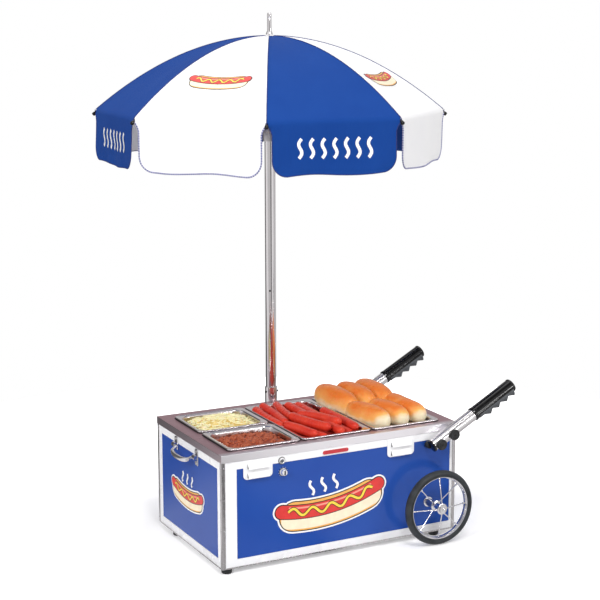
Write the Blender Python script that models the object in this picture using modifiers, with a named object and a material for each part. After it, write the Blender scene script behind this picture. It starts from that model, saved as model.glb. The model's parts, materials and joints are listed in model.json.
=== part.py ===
"""Countertop push vending cart: a steam-table body on wheels with lift-off pans and a folding umbrella.

Frame: +X towards the push handles, +Y towards the umbrella pole, +Z up.
The origin is the centre of the base plate's underside, in line with the body's bottom edge.
Lengths are written in millimetres and become metres where the mesh is made.
"""

import math

import bmesh
import bpy
from mathutils import Matrix, Vector

MM = 0.001
GAP = 0.3

# Body
BODY_L, BODY_D = 594.0, 362.0
BODY_TOP = 256.2
WALL = 14.0
FLOOR_Z = 2.5
PANEL_RECESS = 0.8
PANEL_T = 4.0
FRONT_WINDOW = (-261.0, 283.0, 20.0, 223.0)
END_WINDOW = (-157.0, 158.0, 20.0, 223.0)
BASE_PLATE = (-255.0, 225.0, -142.0, 80.0)
BASE_T = 1.5
FOOT_R, FOOT_H = 12.0, 12.0
FOOT_PLACES = {
    "foot_front_left": (-281.0, -167.0),
    "foot_rear_left": (-281.0, 106.0),
    "foot_front_right": (250.0, -167.0),
    "foot_rear_right": (250.0, 106.0),
}

# Vents and temperature knob on the control side
VENT_HALF, VENT_LOW, VENT_HIGH, VENT_T = 35.0, 197.0, 240.0, 2.0
VENT_CORNER, LOUVRE_HALF, LOUVRE_OUT = 7.0, 27.0, 7.0
VENT_X = {"left_vent": -211.0, "right_vent": 149.0}
LOUVRE_Z = (208.0, 224.0)
KNOB_PLACE = (-150.0, 202.0)

# Deck, well and pans
DECK_TOP, DECK_T = 258.0, 1.5
DECK_OVERHANG, DECK_SKIRT = 1.5, 17.0
STATION_W, STATION_PITCH, STATION_X0 = 176.0, 180.5, -269.5
STATION_Y0, STATION_LEN = -159.0, 308.0
SMALL_PAN_LEN, SMALL_PAN_GAP = 149.0, 10.0
RIM_W, RIM_H, RIM_CORNER = 9.0, 4.0, 10.0
PAN_T, PAN_DEPTH, PAN_TAPER = 1.2, 100.0, 9.0
TRAY_DEPTH = 10.0
FOOD_LEVELS = {"chili": (-14.0, -8.0), "cheese": (-12.0, 2.0), "franks": (-8.0, 14.0), "buns": (34.0, 62.0)}
WELL = (-266.0, 266.0, -153.0, 161.0)
WELL_FLOOR_Z, WELL_T, WELL_FLANGE = 112.0, 1.5, 5.0
HEATER = (-150.0, 170.0, -70.0, 80.0)
HEATER_Z, HEATER_R, HEATER_BEND = 101.0, 4.0, 40.0

# Wheels
AXLE_X, AXLE_Z, AXLE_R = 225.0, 75.8, 5.0
WHEEL_Y, TYRE_R, TYRE_W, RIM_R = 228.0, 87.5, 20.0, 74.0
HUB_R, HUB_FRONT, HUB_BACK, HUB_NECK_R = 13.0, 19.0, 14.0, 8.0
RIM_T, RIM_HALF_W, RIM_EDGE = 4.5, 7.0, 1.5
FLANGE_T = 4.0
SPOKES, SPOKE_R = 8, 1.5

# Push handles
HANDLE_Y = 201.0
HANDLE_START = (223.3, 215.8)
HANDLE_LEN, HANDLE_ANGLE, HANDLE_R = 238.0, math.radians(28.9), 14.3
GRIP_FROM, GRIP_TO, GRIP_R = 122.0, 245.0, 16.4
KNOB_AT, KNOB_BELOW = (14.0, 53.0), 2.4
GRIP_RIDGES, RIDGE_FIRST, RIDGE_PITCH = 4, 38.0, 25.0
RIDGE_R, RIDGE_END_R = 10.0, 7.0
KNOB_R, KNOB_T, KNOB_SHAFT_R, SPACER_R = 12.5, 6.5, 3.0, 7.5

# Carry handle on the left end
CARRY_Y, CARRY_HALF, CARRY_Z = 6.0, 58.0, 221.0
CARRY_REACH, CARRY_DROOP, CARRY_R = 27.0, math.radians(31.0), 2.5
EYE_R, EYE_HALF, EYE_PLATE_HALF, EYE_PLATE_T = 6.0, 7.0, 19.0, 2.0

# Umbrella
POLE_X, POLE_Y, POLE_R = 8.0, 198.0, 13.0
SOCKET_FLOOR, SOCKET_TOP, SOCKET_R, SOCKET_END_T = 40.0, 291.0, 15.2, 4.0
SOCKET_PLATE_Z, SOCKET_PLATE_HALF, SOCKET_PLATE_T = (62.0, 190.0), (32.0, 14.0), 2.5
RIB_COUNT, RIB_R = 8, 2.5
RIB_TURN = math.radians(-117.1)
CROWN_R, CROWN_Z, CROWN_T = 21.0, 1127.0, 14.0
RIB_END, RIB_SAG = 403.0, 0.00102
HEM_R, CLOTH_T, CLOTH_LIFT = 411.0, 1.5, 5.5
VALANCE = 115.0
JOINT_R, JOINT_DROP = 186.0, 6.0
STRETCHER_LEN, STRETCHER_R, RUNNER_REACH = 235.0, 2.0, 27.0
RUNNER_R, RUNNER_FLANGE_R, RUNNER_UP, RUNNER_DOWN, RUNNER_FLANGE_HALF = 17.5, 22.5, 20.0, 24.0, 4.0
CANOPY_HOLE_R, NECK_R = 9.0, 4.5
FINIAL_TOP, FINIAL_R, FERRULE_R, FERRULE_H = 1188.0, 5.2, 8.5, 9.0


def new_collection(name):
    collection = bpy.data.collections.new(name)
    bpy.context.scene.collection.children.link(collection)
    return collection


def material(name, color, roughness, metallic=0.0):
    made = bpy.data.materials.new(name)
    made.use_nodes = True
    shader = made.node_tree.nodes["Principled BSDF"]
    shader.inputs["Base Color"].default_value = (*color, 1.0)
    shader.inputs["Roughness"].default_value = roughness
    shader.inputs["Metallic"].default_value = metallic
    return made


def mesh_object(name, bm, surface=None, helper=False):
    """The bmesh, drawn in millimetres, as an object in metres."""
    bmesh.ops.scale(bm, vec=(MM, MM, MM), verts=bm.verts)
    bmesh.ops.recalc_face_normals(bm, faces=bm.faces)
    mesh = bpy.data.meshes.new(name)
    bm.to_mesh(mesh)
    bm.free()
    made = bpy.data.objects.new(name, mesh)
    return placed(made, surface, helper)


def placed(made, surface=None, helper=False):
    (HELPERS if helper else CART).objects.link(made)
    if helper:
        made.hide_render = True
        made.display_type = "WIRE"
    if surface:
        made.data.materials.append(surface)
    return made


def set_origin(made, point):
    """Moves the object's origin to a point in millimetres, leaving its shape where it is."""
    shift = Vector(point) * MM
    made.data.transform(Matrix.Translation(-shift))
    made.location = shift
    return made


def smooth(made, degrees=40):
    made.data.shade_smooth()
    made.data.set_sharp_from_angle(angle=math.radians(degrees))
    return made


def box_mesh(low, high):
    bm = bmesh.new()
    size = [b - a for a, b in zip(low, high)]
    middle = [(a + b) / 2 for a, b in zip(low, high)]
    matrix = Matrix.Translation(middle) @ Matrix.Diagonal((*size, 1.0))
    bmesh.ops.create_cube(bm, size=1.0, matrix=matrix)
    return bm


def box(name, low, high, surface=None, helper=False):
    return mesh_object(name, box_mesh(low, high), surface, helper)


def cylinder(name, start, end, radius, surface=None, helper=False, sides=24, end_radius=None):
    """A round bar between two points in millimetres."""
    start, end = Vector(start), Vector(end)
    along = end - start
    turn = along.to_track_quat("Z", "Y").to_matrix().to_4x4()
    bm = bmesh.new()
    bmesh.ops.create_cone(
        bm,
        cap_ends=True,
        segments=sides,
        radius1=radius,
        radius2=radius if end_radius is None else end_radius,
        depth=along.length,
        matrix=Matrix.Translation((start + end) / 2) @ turn,
    )
    return smooth(mesh_object(name, bm, surface, helper))


def combined(made, other, operation):
    modifier = made.modifiers.new(other.name, "BOOLEAN")
    modifier.operation = operation
    modifier.solver = "EXACT"
    modifier.object = other
    return made


def cut(made, *cutters):
    for cutter in cutters:
        combined(made, cutter, "DIFFERENCE")
    return made


def joined(made, *others):
    for other in others:
        combined(made, other, "UNION")
    return made


def turned(name, profile, centre, surface, steps=32, axis="Z"):
    """A turned solid. Its (radius, height) profile runs down the outer side, then to the axis or its start."""
    bm = bmesh.new()
    points = [bm.verts.new((r * MM, 0.0, z * MM)) for r, z in profile]
    for a, b in zip(points, points[1:]):
        bm.edges.new((a, b))
    mesh = bpy.data.meshes.new(name)
    bm.to_mesh(mesh)
    bm.free()
    made = placed(bpy.data.objects.new(name, mesh), surface)
    screw = made.modifiers.new("turn", "SCREW")
    screw.steps = steps
    screw.render_steps = steps
    screw.use_merge_vertices = True
    screw.merge_threshold = 0.00001
    made.location = Vector(centre) * MM
    if axis == "Y":
        made.rotation_euler = (math.radians(90), 0.0, 0.0)
    return made


def ring_profile(outer, inner, top, bottom, edge=0.0):
    """Closed section of a ring, with its outer corners cut back by edge."""
    return [
        (inner, top),
        (outer - edge, top),
        (outer, top - edge),
        (outer, bottom + edge),
        (outer - edge, bottom),
        (inner, bottom),
        (inner, top),
    ]


def rounded_loop(x0, x1, y0, y1, radius, z, corner_points=4):
    """Corners of a rounded rectangle, as points one after another."""
    points = []
    corners = [(x1, y1, 0), (x0, y1, 90), (x0, y0, 180), (x1, y0, 270)]
    for x, y, first in corners:
        cx = x - radius if x == x1 else x + radius
        cy = y - radius if y == y1 else y + radius
        for step in range(corner_points):
            angle = math.radians(first + 90 * step / (corner_points - 1))
            points.append((cx + radius * math.cos(angle), cy + radius * math.sin(angle), z))
    return points


def lofted(name, loops, surface=None, helper=False):
    """A closed solid through loops of equally many points, capped at its first and last loop."""
    bm = bmesh.new()
    rows = [[bm.verts.new(point) for point in loop] for loop in loops]
    for row, following in zip(rows, rows[1:]):
        for i in range(len(row)):
            j = (i + 1) % len(row)
            bm.faces.new((row[i], row[j], following[j], following[i]))
    bm.faces.new(rows[0])
    bm.faces.new(rows[-1])
    return mesh_object(name, bm, surface, helper)


def pan_shell(name, x0, y0, length, depth, surface, corner=22.0):
    """A tapered pan that hangs by its rim from the deck."""
    x1, y1 = x0 + STATION_W, y0 + length
    top = DECK_TOP + GAP + RIM_H
    under = DECK_TOP + GAP
    floor = DECK_TOP - depth
    taper = PAN_TAPER * depth / PAN_DEPTH

    def loop(inset, z, radius):
        return rounded_loop(x0 + inset, x1 - inset, y0 + inset, y1 - inset, radius, z)

    return lofted(
        name,
        [
            loop(RIM_W + taper + PAN_T + 6, floor + PAN_T, corner - 6),
            loop(RIM_W + taper + PAN_T, floor + PAN_T + 6, corner),
            loop(RIM_W + PAN_T, top - 2.0, corner),
            loop(RIM_W - 1.0, top, corner + 2),
            loop(1.5, top, RIM_CORNER),
            loop(0.0, top - 1.5, RIM_CORNER),
            loop(0.0, under, RIM_CORNER),
            loop(RIM_W, under, corner),
            loop(RIM_W + taper, floor + 6, corner),
            loop(RIM_W + taper + 6, floor, corner - 6),
        ],
        surface,
    )


def filling(name, x0, y0, length, low, rim_z, crown_z, surface):
    """Food in a pan or on a tray, as one crowned solid."""
    x1, y1 = x0 + STATION_W, y0 + length

    def loop(inset, z, radius):
        return rounded_loop(x0 + inset, x1 - inset, y0 + inset, y1 - inset, radius, z)

    side = RIM_W + PAN_TAPER + PAN_T + 3
    return lofted(
        name,
        [
            loop(side + 5, low, 14),
            loop(side, low + 6, 20),
            loop(side - 4, rim_z, 20),
            loop(side + 16, (rim_z + 2 * crown_z) / 3, 16),
            loop(side + 42, crown_z, 10),
        ],
        surface,
    )


# Body ------------------------------------------------------------------------


def body_frame(surface):
    x, y = BODY_L / 2, BODY_D / 2
    frame = box("body_frame", (-x, -y, 0), (x, y, BODY_TOP), surface)
    inside_low, inside_high = (WALL - x, WALL - y, FLOOR_Z), (x - WALL, y - WALL, BODY_TOP + 20)
    inside = box("body_inside", inside_low, inside_high, helper=True)
    x0, x1, z0, z1 = FRONT_WINDOW
    front = box("window_front", (x0, -y - 20, z0), (x1, 0, z1), helper=True)
    rear = box("window_rear", (x0, 0, z0), (x1, y + 20, z1), helper=True)
    y0, y1, z0, z1 = END_WINDOW
    left = box("window_left", (-x - 20, y0, z0), (0, y1, z1), helper=True)
    right = box("window_right", (0, y0, z0), (x + 20, y1, z1), helper=True)
    bx0, bx1, by0, by1 = BASE_PLATE
    base_low, base_high = (bx0 - GAP, by0 - GAP, -20), (bx1 + GAP, by1 + GAP, FLOOR_Z + 20)
    base = box("base_opening", base_low, base_high, helper=True)
    return cut(frame, inside, front, rear, left, right, base)


def base_plate(surface):
    x0, x1, y0, y1 = BASE_PLATE
    return box("base_plate", (x0, y0, 0), (x1, y1, BASE_T), surface)


def side_panels(surface):
    """The coloured insulated panels, one in each wall's window."""
    x0, x1, z0, z1 = FRONT_WINDOW
    outer = BODY_D / 2 - PANEL_RECESS
    for name, side in (("front_panel", -1), ("rear_panel", 1)):
        low_y, high_y = sorted((side * outer, side * (outer - PANEL_T)))
        low = (x0 + GAP, low_y, z0 + GAP)
        high = (x1 - GAP, high_y, z1 - GAP)
        panel = box(name, low, high, surface)
        start = (AXLE_X, side * (outer + 30), AXLE_Z)
        end = (AXLE_X, side * (outer - PANEL_T - 30), AXLE_Z)
        cut(panel, cylinder(name + "_axle_hole", start, end, AXLE_R + 1, helper=True))
    y0, y1, z0, z1 = END_WINDOW
    outer = BODY_L / 2 - PANEL_RECESS
    for name, side in (("left_panel", -1), ("right_panel", 1)):
        low_x, high_x = sorted((side * outer, side * (outer - PANEL_T)))
        box(name, (low_x, y0 + GAP, z0 + GAP), (high_x, y1 - GAP, z1 - GAP), surface)


def feet(surface):
    for name, (x, y) in FOOT_PLACES.items():
        cylinder(name, (x, y, -FOOT_H), (x, y, -GAP), FOOT_R * 0.92, surface, sides=20, end_radius=FOOT_R)


def vent_plate(name, x, surface):
    """A plate that hangs below the deck's skirt, with two pressed louvres."""
    y, half, low, high, corner = -BODY_D / 2 - GAP, VENT_HALF, VENT_LOW, VENT_HIGH, VENT_CORNER
    outline = [
        (-half, high),
        (-half, low + corner),
        (-half + corner, low),
        (half - corner, low),
        (half, low + corner),
        (half, high),
    ]
    loops = [[(x + u, y - t, z) for u, z in outline] for t in (0.0, VENT_T)]
    plate = lofted(name, loops, surface)
    for number, z in enumerate(LOUVRE_Z):
        corners = [(z - 4, VENT_T / 2), (z - 4, VENT_T + 0.6), (z + 5, LOUVRE_OUT), (z + 5, VENT_T / 2)]
        hood = [[(x + u, y - t, h) for h, t in corners] for u in (-LOUVRE_HALF, LOUVRE_HALF)]
        joined(plate, lofted(f"{name}_louvre_{number}", hood, helper=True))


def temperature_knob(surface):
    x, z = KNOB_PLACE
    y = -BODY_D / 2 + PANEL_RECESS - GAP
    profile = [(0, 12), (6.5, 12), (8, 10.5), (8, 2.5), (9.5, 1.5), (9.5, 0), (0, 0)]
    turned("temperature_knob", profile, (x, y, z), surface, steps=24, axis="Y")


# Deck, well and pans ---------------------------------------------------------


def station_x(number):
    return STATION_X0 + number * STATION_PITCH


def small_pan_y(number):
    return STATION_Y0 + number * (SMALL_PAN_LEN + SMALL_PAN_GAP)


def openings():
    """(name, x, y, length) of each deck opening's pan."""
    return [
        ("pan_front_left", station_x(0), small_pan_y(0), SMALL_PAN_LEN),
        ("pan_rear_left", station_x(0), small_pan_y(1), SMALL_PAN_LEN),
        ("pan_middle", station_x(1), STATION_Y0, STATION_LEN),
        ("bun_tray", station_x(2), STATION_Y0, STATION_LEN),
    ]


def deck(surface):
    x, y = BODY_L / 2 + DECK_OVERHANG, BODY_D / 2 + DECK_OVERHANG
    low = DECK_TOP - DECK_SKIRT
    plate = box("deck", (-x, -y, low), (x, y, DECK_TOP), surface)
    hollow_low = (-BODY_L / 2 - GAP, -BODY_D / 2 - GAP, low - 20)
    hollow_high = (BODY_L / 2 + GAP, BODY_D / 2 + GAP, DECK_TOP - DECK_T)
    cut(plate, box("deck_hollow", hollow_low, hollow_high, helper=True))
    for name, x0, y0, length in openings():
        inset = RIM_W - 1.5
        sides = (x0 + inset, x0 + STATION_W - inset, y0 + inset, y0 + length - inset)
        loops = [rounded_loop(*sides, 23, z) for z in (DECK_TOP - 20, DECK_TOP + 20)]
        cut(plate, lofted(name + "_opening", loops, helper=True))


def water_well(surface):
    x0, x1, y0, y1 = WELL
    top = DECK_TOP - DECK_T - GAP

    def loop(out, z, radius=20.0):
        return rounded_loop(x0 - out, x1 + out, y0 - out, y1 + out, radius, z)

    loops = [
        loop(0, WELL_FLOOR_Z + WELL_T),
        loop(0, top),
        loop(WELL_FLANGE, top),
        loop(WELL_FLANGE, top - WELL_T),
        loop(WELL_T, top - WELL_T),
        loop(WELL_T, WELL_FLOOR_Z),
    ]
    lofted("water_well", loops, surface)


def heating_element(surface):
    """A tubular heater under the well, bent into one long hairpin with its ends towards the control side."""
    left, right, front, rear = HEATER
    steps = 6
    points = [(left, front)]
    for first, y in ((-90, front + HEATER_BEND), (0, rear - HEATER_BEND)):
        for step in range(steps + 1):
            angle = math.radians(first + 90 * step / steps)
            x = right - HEATER_BEND + HEATER_BEND * math.cos(angle)
            points.append((x, y + HEATER_BEND * math.sin(angle)))
    points.append((left, rear))
    rod("heating_element", [(x, y, HEATER_Z) for x, y in points], HEATER_R, surface)


def rod(name, points, radius, surface, detail=2):
    """A bent rod of round section through points in millimetres."""
    curve = bpy.data.curves.new(name, "CURVE")
    curve.dimensions = "3D"
    curve.bevel_depth = radius * MM
    curve.bevel_resolution = detail
    curve.use_fill_caps = True
    spline = curve.splines.new("POLY")
    spline.points.add(len(points) - 1)
    for place, point in zip(spline.points, points):
        place.co = (*(Vector(point) * MM), 1.0)
    return placed(bpy.data.objects.new(name, curve), surface)


def pans_and_food(steel, foods):
    for name, x0, y0, length in openings():
        depth = TRAY_DEPTH if name == "bun_tray" else PAN_DEPTH
        pan_shell(name, x0, y0, length, depth, steel)
    for food, (_, x0, y0, length) in zip(("chili", "cheese", "franks", "buns"), openings()):
        depth = TRAY_DEPTH if food == "buns" else PAN_DEPTH
        floor = DECK_TOP - depth + PAN_T + GAP
        at_rim, at_crown = FOOD_LEVELS[food]
        filling(food, x0, y0, length, floor, DECK_TOP + at_rim, DECK_TOP + at_crown, foods[food])


# Wheels ----------------------------------------------------------------------


def wheel(name, side, surface):
    """A spoked wheel: its turned rim, its hub and its spokes as one piece."""
    y = side * WHEEL_Y
    section = ring_profile(RIM_R, RIM_R - RIM_T, RIM_HALF_W, -RIM_HALF_W, RIM_EDGE)
    rim = turned(name, section, (AXLE_X, y, AXLE_Z), surface, 40, "Y")
    outer, inner = y + side * HUB_FRONT, y - side * HUB_BACK

    def disc(part, first_y, last_y, radius):
        start, end = (AXLE_X, first_y, AXLE_Z), (AXLE_X, last_y, AXLE_Z)
        return cylinder(f"{name}_{part}", start, end, radius, helper=True)

    front_y = outer - side * FLANGE_T
    hub = disc("hub", inner, outer, HUB_NECK_R)
    flange_front = disc("flange_front", front_y, front_y - side * FLANGE_T, HUB_R)
    flange_back = disc("flange_back", inner, inner + side * FLANGE_T, HUB_R)
    joined(rim, hub, flange_front, flange_back)
    for number in range(SPOKES):
        angle = 2 * math.pi * number / SPOKES
        across = Vector((math.cos(angle), 0, math.sin(angle)))
        foot_y = front_y - side * FLANGE_T / 2 if number % 2 == 0 else inner + side * FLANGE_T / 2
        foot = Vector((AXLE_X, foot_y, AXLE_Z)) + across * (HUB_R * 0.5)
        tip = Vector((AXLE_X, y, AXLE_Z)) + across * (RIM_R - 2)
        joined(rim, cylinder(f"{name}_spoke_{number}", foot, tip, SPOKE_R, helper=True, sides=6))
    bore_start = (AXLE_X, inner - side * 20, AXLE_Z)
    bore_end = (AXLE_X, outer - side * 9, AXLE_Z)
    cut(rim, cylinder(name + "_bore", bore_start, bore_end, AXLE_R + GAP, helper=True))


def tyre(name, side, surface):
    """A solid tyre of oval section around the rim."""
    inner, outer, half = RIM_R + GAP, TYRE_R, TYRE_W / 2
    middle, reach = (inner + outer) / 2, (outer - inner) / 2
    profile = [(inner, half * 0.62), (middle + reach * 0.15, half)]
    for step in range(1, 6):
        angle = math.radians(90 - 180 * step / 6)
        profile.append((middle + reach * (0.15 + 0.85 * math.cos(angle)), half * math.sin(angle)))
    profile += [(middle + reach * 0.15, -half), (inner, -half * 0.62), profile[0]]
    turned(name, profile, (AXLE_X, side * WHEEL_Y, AXLE_Z), surface, 40, "Y")


def axle(surface):
    end = WHEEL_Y + HUB_FRONT - 10
    cylinder("axle", (AXLE_X, -end, AXLE_Z), (AXLE_X, end, AXLE_Z), AXLE_R, surface, sides=20)


# Handles ---------------------------------------------------------------------


def along_handle(distance, y, below=0.0):
    """A point on the handle's centre line, or below it."""
    x, z = HANDLE_START
    c, s = math.cos(HANDLE_ANGLE), math.sin(HANDLE_ANGLE)
    return (x + distance * c + below * s, y, z + distance * s - below * c)


def push_handle(name, side, surface):
    """A tube with a spacer behind each clamp screw, which stands it off the wall."""
    y = side * HANDLE_Y
    bar = cylinder(name, along_handle(0, y), along_handle(HANDLE_LEN, y), HANDLE_R, surface)
    wall = side * (BODY_D / 2 + DECK_OVERHANG + GAP)
    for number, distance in enumerate(KNOB_AT):
        x, _, z = along_handle(distance, y, KNOB_BELOW)
        ends = ((x, wall, z), (x, y, z))
        joined(bar, cylinder(f"{name}_spacer_{number}", *ends, SPACER_R, helper=True, sides=20))
    for number, distance in enumerate(KNOB_AT):
        x, _, z = along_handle(distance, y, KNOB_BELOW)
        hole = ((x, wall - side * 20, z), (x, y + side * 40, z))
        cut(bar, cylinder(f"{name}_hole_{number}", *hole, KNOB_SHAFT_R + GAP, helper=True, sides=16))


def clamp_knob(name, side, distance, surface):
    """A round knob whose screw passes through the tube and its spacer."""
    y = side * HANDLE_Y
    x, _, z = along_handle(distance, y, KNOB_BELOW)
    face = y + side * (HANDLE_R + GAP)
    head = cylinder(name, (x, face, z), (x, face + side * KNOB_T, z), KNOB_R, surface)
    tip = side * (BODY_D / 2 + DECK_OVERHANG + GAP + 1)
    screw = ((x, face + side, z), (x, tip, z))
    joined(head, cylinder(name + "_screw", *screw, KNOB_SHAFT_R, helper=True, sides=16))


def grip(name, side, surface):
    """A moulded grip with finger ridges along its underside, closed at its outer end."""
    y = side * HANDLE_Y
    sleeve = cylinder(name, along_handle(GRIP_FROM, y), along_handle(GRIP_TO, y), GRIP_R, surface)
    for number in range(GRIP_RIDGES):
        centre = GRIP_FROM + RIDGE_FIRST + number * RIDGE_PITCH
        start = along_handle(centre - 9, y, 9)
        middle = along_handle(centre + 2, y, 12)
        end = along_handle(centre + 9, y, 9)
        cones = [("a", start, middle, RIDGE_END_R, RIDGE_R), ("b", middle, end, RIDGE_R, RIDGE_END_R)]
        for part, first, last, radius, end_radius in cones:
            ridge = f"{name}_ridge_{number}{part}"
            cone = cylinder(ridge, first, last, radius, helper=True, sides=12, end_radius=end_radius)
            joined(sleeve, cone)
    bore = (along_handle(GRIP_FROM - 20, y), along_handle(HANDLE_LEN + 2, y))
    cut(sleeve, cylinder(name + "_bore", *bore, HANDLE_R + GAP, helper=True))


def carry_handle(steel):
    """Two eyes on the left end and the bail that swings in them."""
    wall = -BODY_L / 2 - GAP
    pivot_x = wall - EYE_R
    for name, side in (("carry_bracket_front", -1), ("carry_bracket_rear", 1)):
        y = CARRY_Y + side * CARRY_HALF
        low = (wall - EYE_PLATE_T, y - EYE_HALF, CARRY_Z - EYE_PLATE_HALF)
        high = (wall, y + EYE_HALF, CARRY_Z + EYE_PLATE_HALF)
        bracket = box(name, low, high, steel)
        eye = ((pivot_x, y - EYE_HALF, CARRY_Z), (pivot_x, y + EYE_HALF, CARRY_Z))
        bore = ((pivot_x, y - 20, CARRY_Z), (pivot_x, y + 20, CARRY_Z))
        joined(bracket, cylinder(name + "_eye", *eye, EYE_R, helper=True, sides=16))
        cut(bracket, cylinder(name + "_bore", *bore, CARRY_R + GAP, helper=True, sides=16))
    points = carry_bail_points(pivot_x)
    bail = rod("carry_bail", points, CARRY_R, steel, detail=1)
    set_origin_of_curve(bail, (pivot_x, CARRY_Y, CARRY_Z))


def carry_bail_points(pivot_x):
    """The bail's centre line: straight in each eye, then bowed outwards and down."""
    inner, outer = CARRY_HALF - EYE_HALF, CARRY_HALF - 13
    steps, shoulder = 8, 8.0
    path = []
    for step in range(steps + 1):
        angle = math.pi * step / steps
        reach = shoulder + (CARRY_REACH - shoulder) * math.sin(angle) ** 0.5
        path.append((-outer * math.cos(angle), reach))
    path = [(-inner - 12, 0.0), (-inner + 3, 0.0)] + path + [(inner - 3, 0.0), (inner + 12, 0.0)]
    c, s = math.cos(CARRY_DROOP), math.sin(CARRY_DROOP)
    return [(pivot_x - reach * c, CARRY_Y + along, CARRY_Z - reach * s) for along, reach in path]


def set_origin_of_curve(made, point):
    shift = Vector(point) * MM
    for place in made.data.splines[0].points:
        place.co = (*(place.co.xyz - shift), 1.0)
    made.location = shift


# Umbrella --------------------------------------------------------------------


def pole_socket(surface):
    """The tube behind the body that the pole stands in, with its two mounting plates."""
    bore = POLE_R + GAP
    profile = [
        (0, SOCKET_FLOOR),
        (bore, SOCKET_FLOOR),
        (bore, SOCKET_TOP),
        (SOCKET_R, SOCKET_TOP),
        (SOCKET_R, SOCKET_FLOOR - SOCKET_END_T),
        (0, SOCKET_FLOOR - SOCKET_END_T),
    ]
    socket = turned("pole_socket", profile, (POLE_X, POLE_Y, 0), surface, steps=24)
    wall = BODY_D / 2 + GAP
    half_x, half_z = SOCKET_PLATE_HALF
    for number, z in enumerate(SOCKET_PLATE_Z):
        low = (POLE_X - half_x, wall, z - half_z)
        high = (POLE_X + half_x, wall + SOCKET_PLATE_T, z + half_z)
        web_low = (POLE_X - 9, wall + 1, z - 12)
        web_high = (POLE_X + 9, POLE_Y - POLE_R - 0.8, z + 12)
        joined(socket, box(f"socket_plate_{number}", low, high, helper=True))
        joined(socket, box(f"socket_web_{number}", web_low, web_high, helper=True))


def pole(surface):
    """The umbrella's tube with the crown that carries the ribs, and above it the ferrule and the finial."""
    hub, top = CROWN_R - 4.5, CROWN_Z + 2
    ferrule = top + 7.0
    profile = [
        (0, FINIAL_TOP),
        (FINIAL_R * 0.6, FINIAL_TOP - 0.8),
        (FINIAL_R, FINIAL_TOP - 3.5),
        (FINIAL_R, ferrule + FERRULE_H),
        (FERRULE_R, ferrule + 1),
        (FERRULE_R, ferrule),
        (NECK_R, ferrule),
        (NECK_R, top),
        (hub, top),
        (hub, top - CROWN_T),
        (POLE_R, top - CROWN_T - 4),
        (POLE_R, SOCKET_FLOOR + GAP),
        (POLE_R - 1.5, SOCKET_FLOOR + GAP),
        (POLE_R - 1.5, CROWN_Z - 20),
        (0, CROWN_Z - 18),
    ]
    turned("pole", profile, (POLE_X, POLE_Y, 0), surface, steps=24)


def rib_angle(number):
    return RIB_TURN + 2 * math.pi * number / RIB_COUNT


def rib_z(radius):
    """Height of a rib's centre line at a radius from the pole."""
    return CROWN_Z - RIB_SAG * (radius**2 - CROWN_R**2)


def umbrella_point(radius, angle, z):
    return (POLE_X + radius * math.cos(angle), POLE_Y + radius * math.sin(angle), z)


def rib(number, surface):
    angle = rib_angle(number)
    start = CROWN_R - 1
    radii = [start + (RIB_END - start) * step / 7 for step in range(8)]
    points = [umbrella_point(r, angle, rib_z(r)) for r in radii]
    made = rod(f"rib_{number + 1}", points, RIB_R, surface, detail=1)
    set_origin_of_curve(made, umbrella_point(CROWN_R, angle, CROWN_Z))


def stretcher_ends():
    """((radius, z) at the rib, (radius, z) at the runner) of an open stretcher."""
    outer = (JOINT_R, rib_z(JOINT_R) - JOINT_DROP)
    across = JOINT_R - RUNNER_REACH
    inner = (RUNNER_REACH, outer[1] - math.sqrt(STRETCHER_LEN**2 - across**2))
    return outer, inner


def stretcher(number, surface):
    angle = rib_angle(number)
    outer, inner = (umbrella_point(r, angle, z) for r, z in stretcher_ends())
    made = cylinder(f"stretcher_{number + 1}", inner, outer, STRETCHER_R, surface, sides=8)
    set_origin(made, outer)


def runner(surface):
    """The sleeve that slides on the pole and carries the stretchers' ends."""
    _, (_, z) = stretcher_ends()
    bore = POLE_R + GAP
    body, flange, half = RUNNER_R, RUNNER_FLANGE_R, RUNNER_FLANGE_HALF
    profile = [
        (bore, RUNNER_UP),
        (body, RUNNER_UP),
        (body, half),
        (flange, half),
        (flange, -half),
        (body, -half),
        (body, -RUNNER_DOWN),
        (bore, -RUNNER_DOWN),
        (bore, RUNNER_UP),
    ]
    turned("runner", profile, (POLE_X, POLE_Y, z), surface, steps=24)


def canopy(surface):
    """The cloth as a closed shell: eight flat-chord gores over the ribs, and the valance below their hem."""
    radii = [CANOPY_HOLE_R, 40, 100, 170, 240, 310, 365, HEM_R]

    def ring(radius, z):
        points = []
        for number in range(RIB_COUNT):
            at, following = rib_angle(number), rib_angle(number + 1)
            points.append(umbrella_point(radius, at, z))
            middle = radius * math.cos(math.pi / RIB_COUNT)
            points.append(umbrella_point(middle, (at + following) / 2, z))
        return points

    hem_z = rib_z(HEM_R) + CLOTH_LIFT
    under = [ring(r, rib_z(r) + CLOTH_LIFT) for r in radii[:-1] + [HEM_R - CLOTH_T]]
    above = [ring(r, rib_z(r) + CLOTH_LIFT + CLOTH_T) for r in radii]
    skirt_outer = ring(HEM_R, hem_z - VALANCE)
    skirt_inner = ring(HEM_R - CLOTH_T, hem_z - VALANCE)
    rows = above + [skirt_outer, skirt_inner] + under[::-1]
    bm = bmesh.new()
    grid = [[bm.verts.new(point) for point in row] for row in rows]
    for row, following in zip(grid, grid[1:] + grid[:1]):
        for i in range(len(row)):
            j = (i + 1) % len(row)
            bm.faces.new((row[i], row[j], following[j], following[i]))
    mesh_object("canopy", bm, surface)


def umbrella(chrome, steel, cloth):
    pole_socket(chrome)
    pole(chrome)
    runner(steel)
    canopy(cloth)
    for number in range(RIB_COUNT):
        rib(number, steel)
        stretcher(number, steel)


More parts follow.
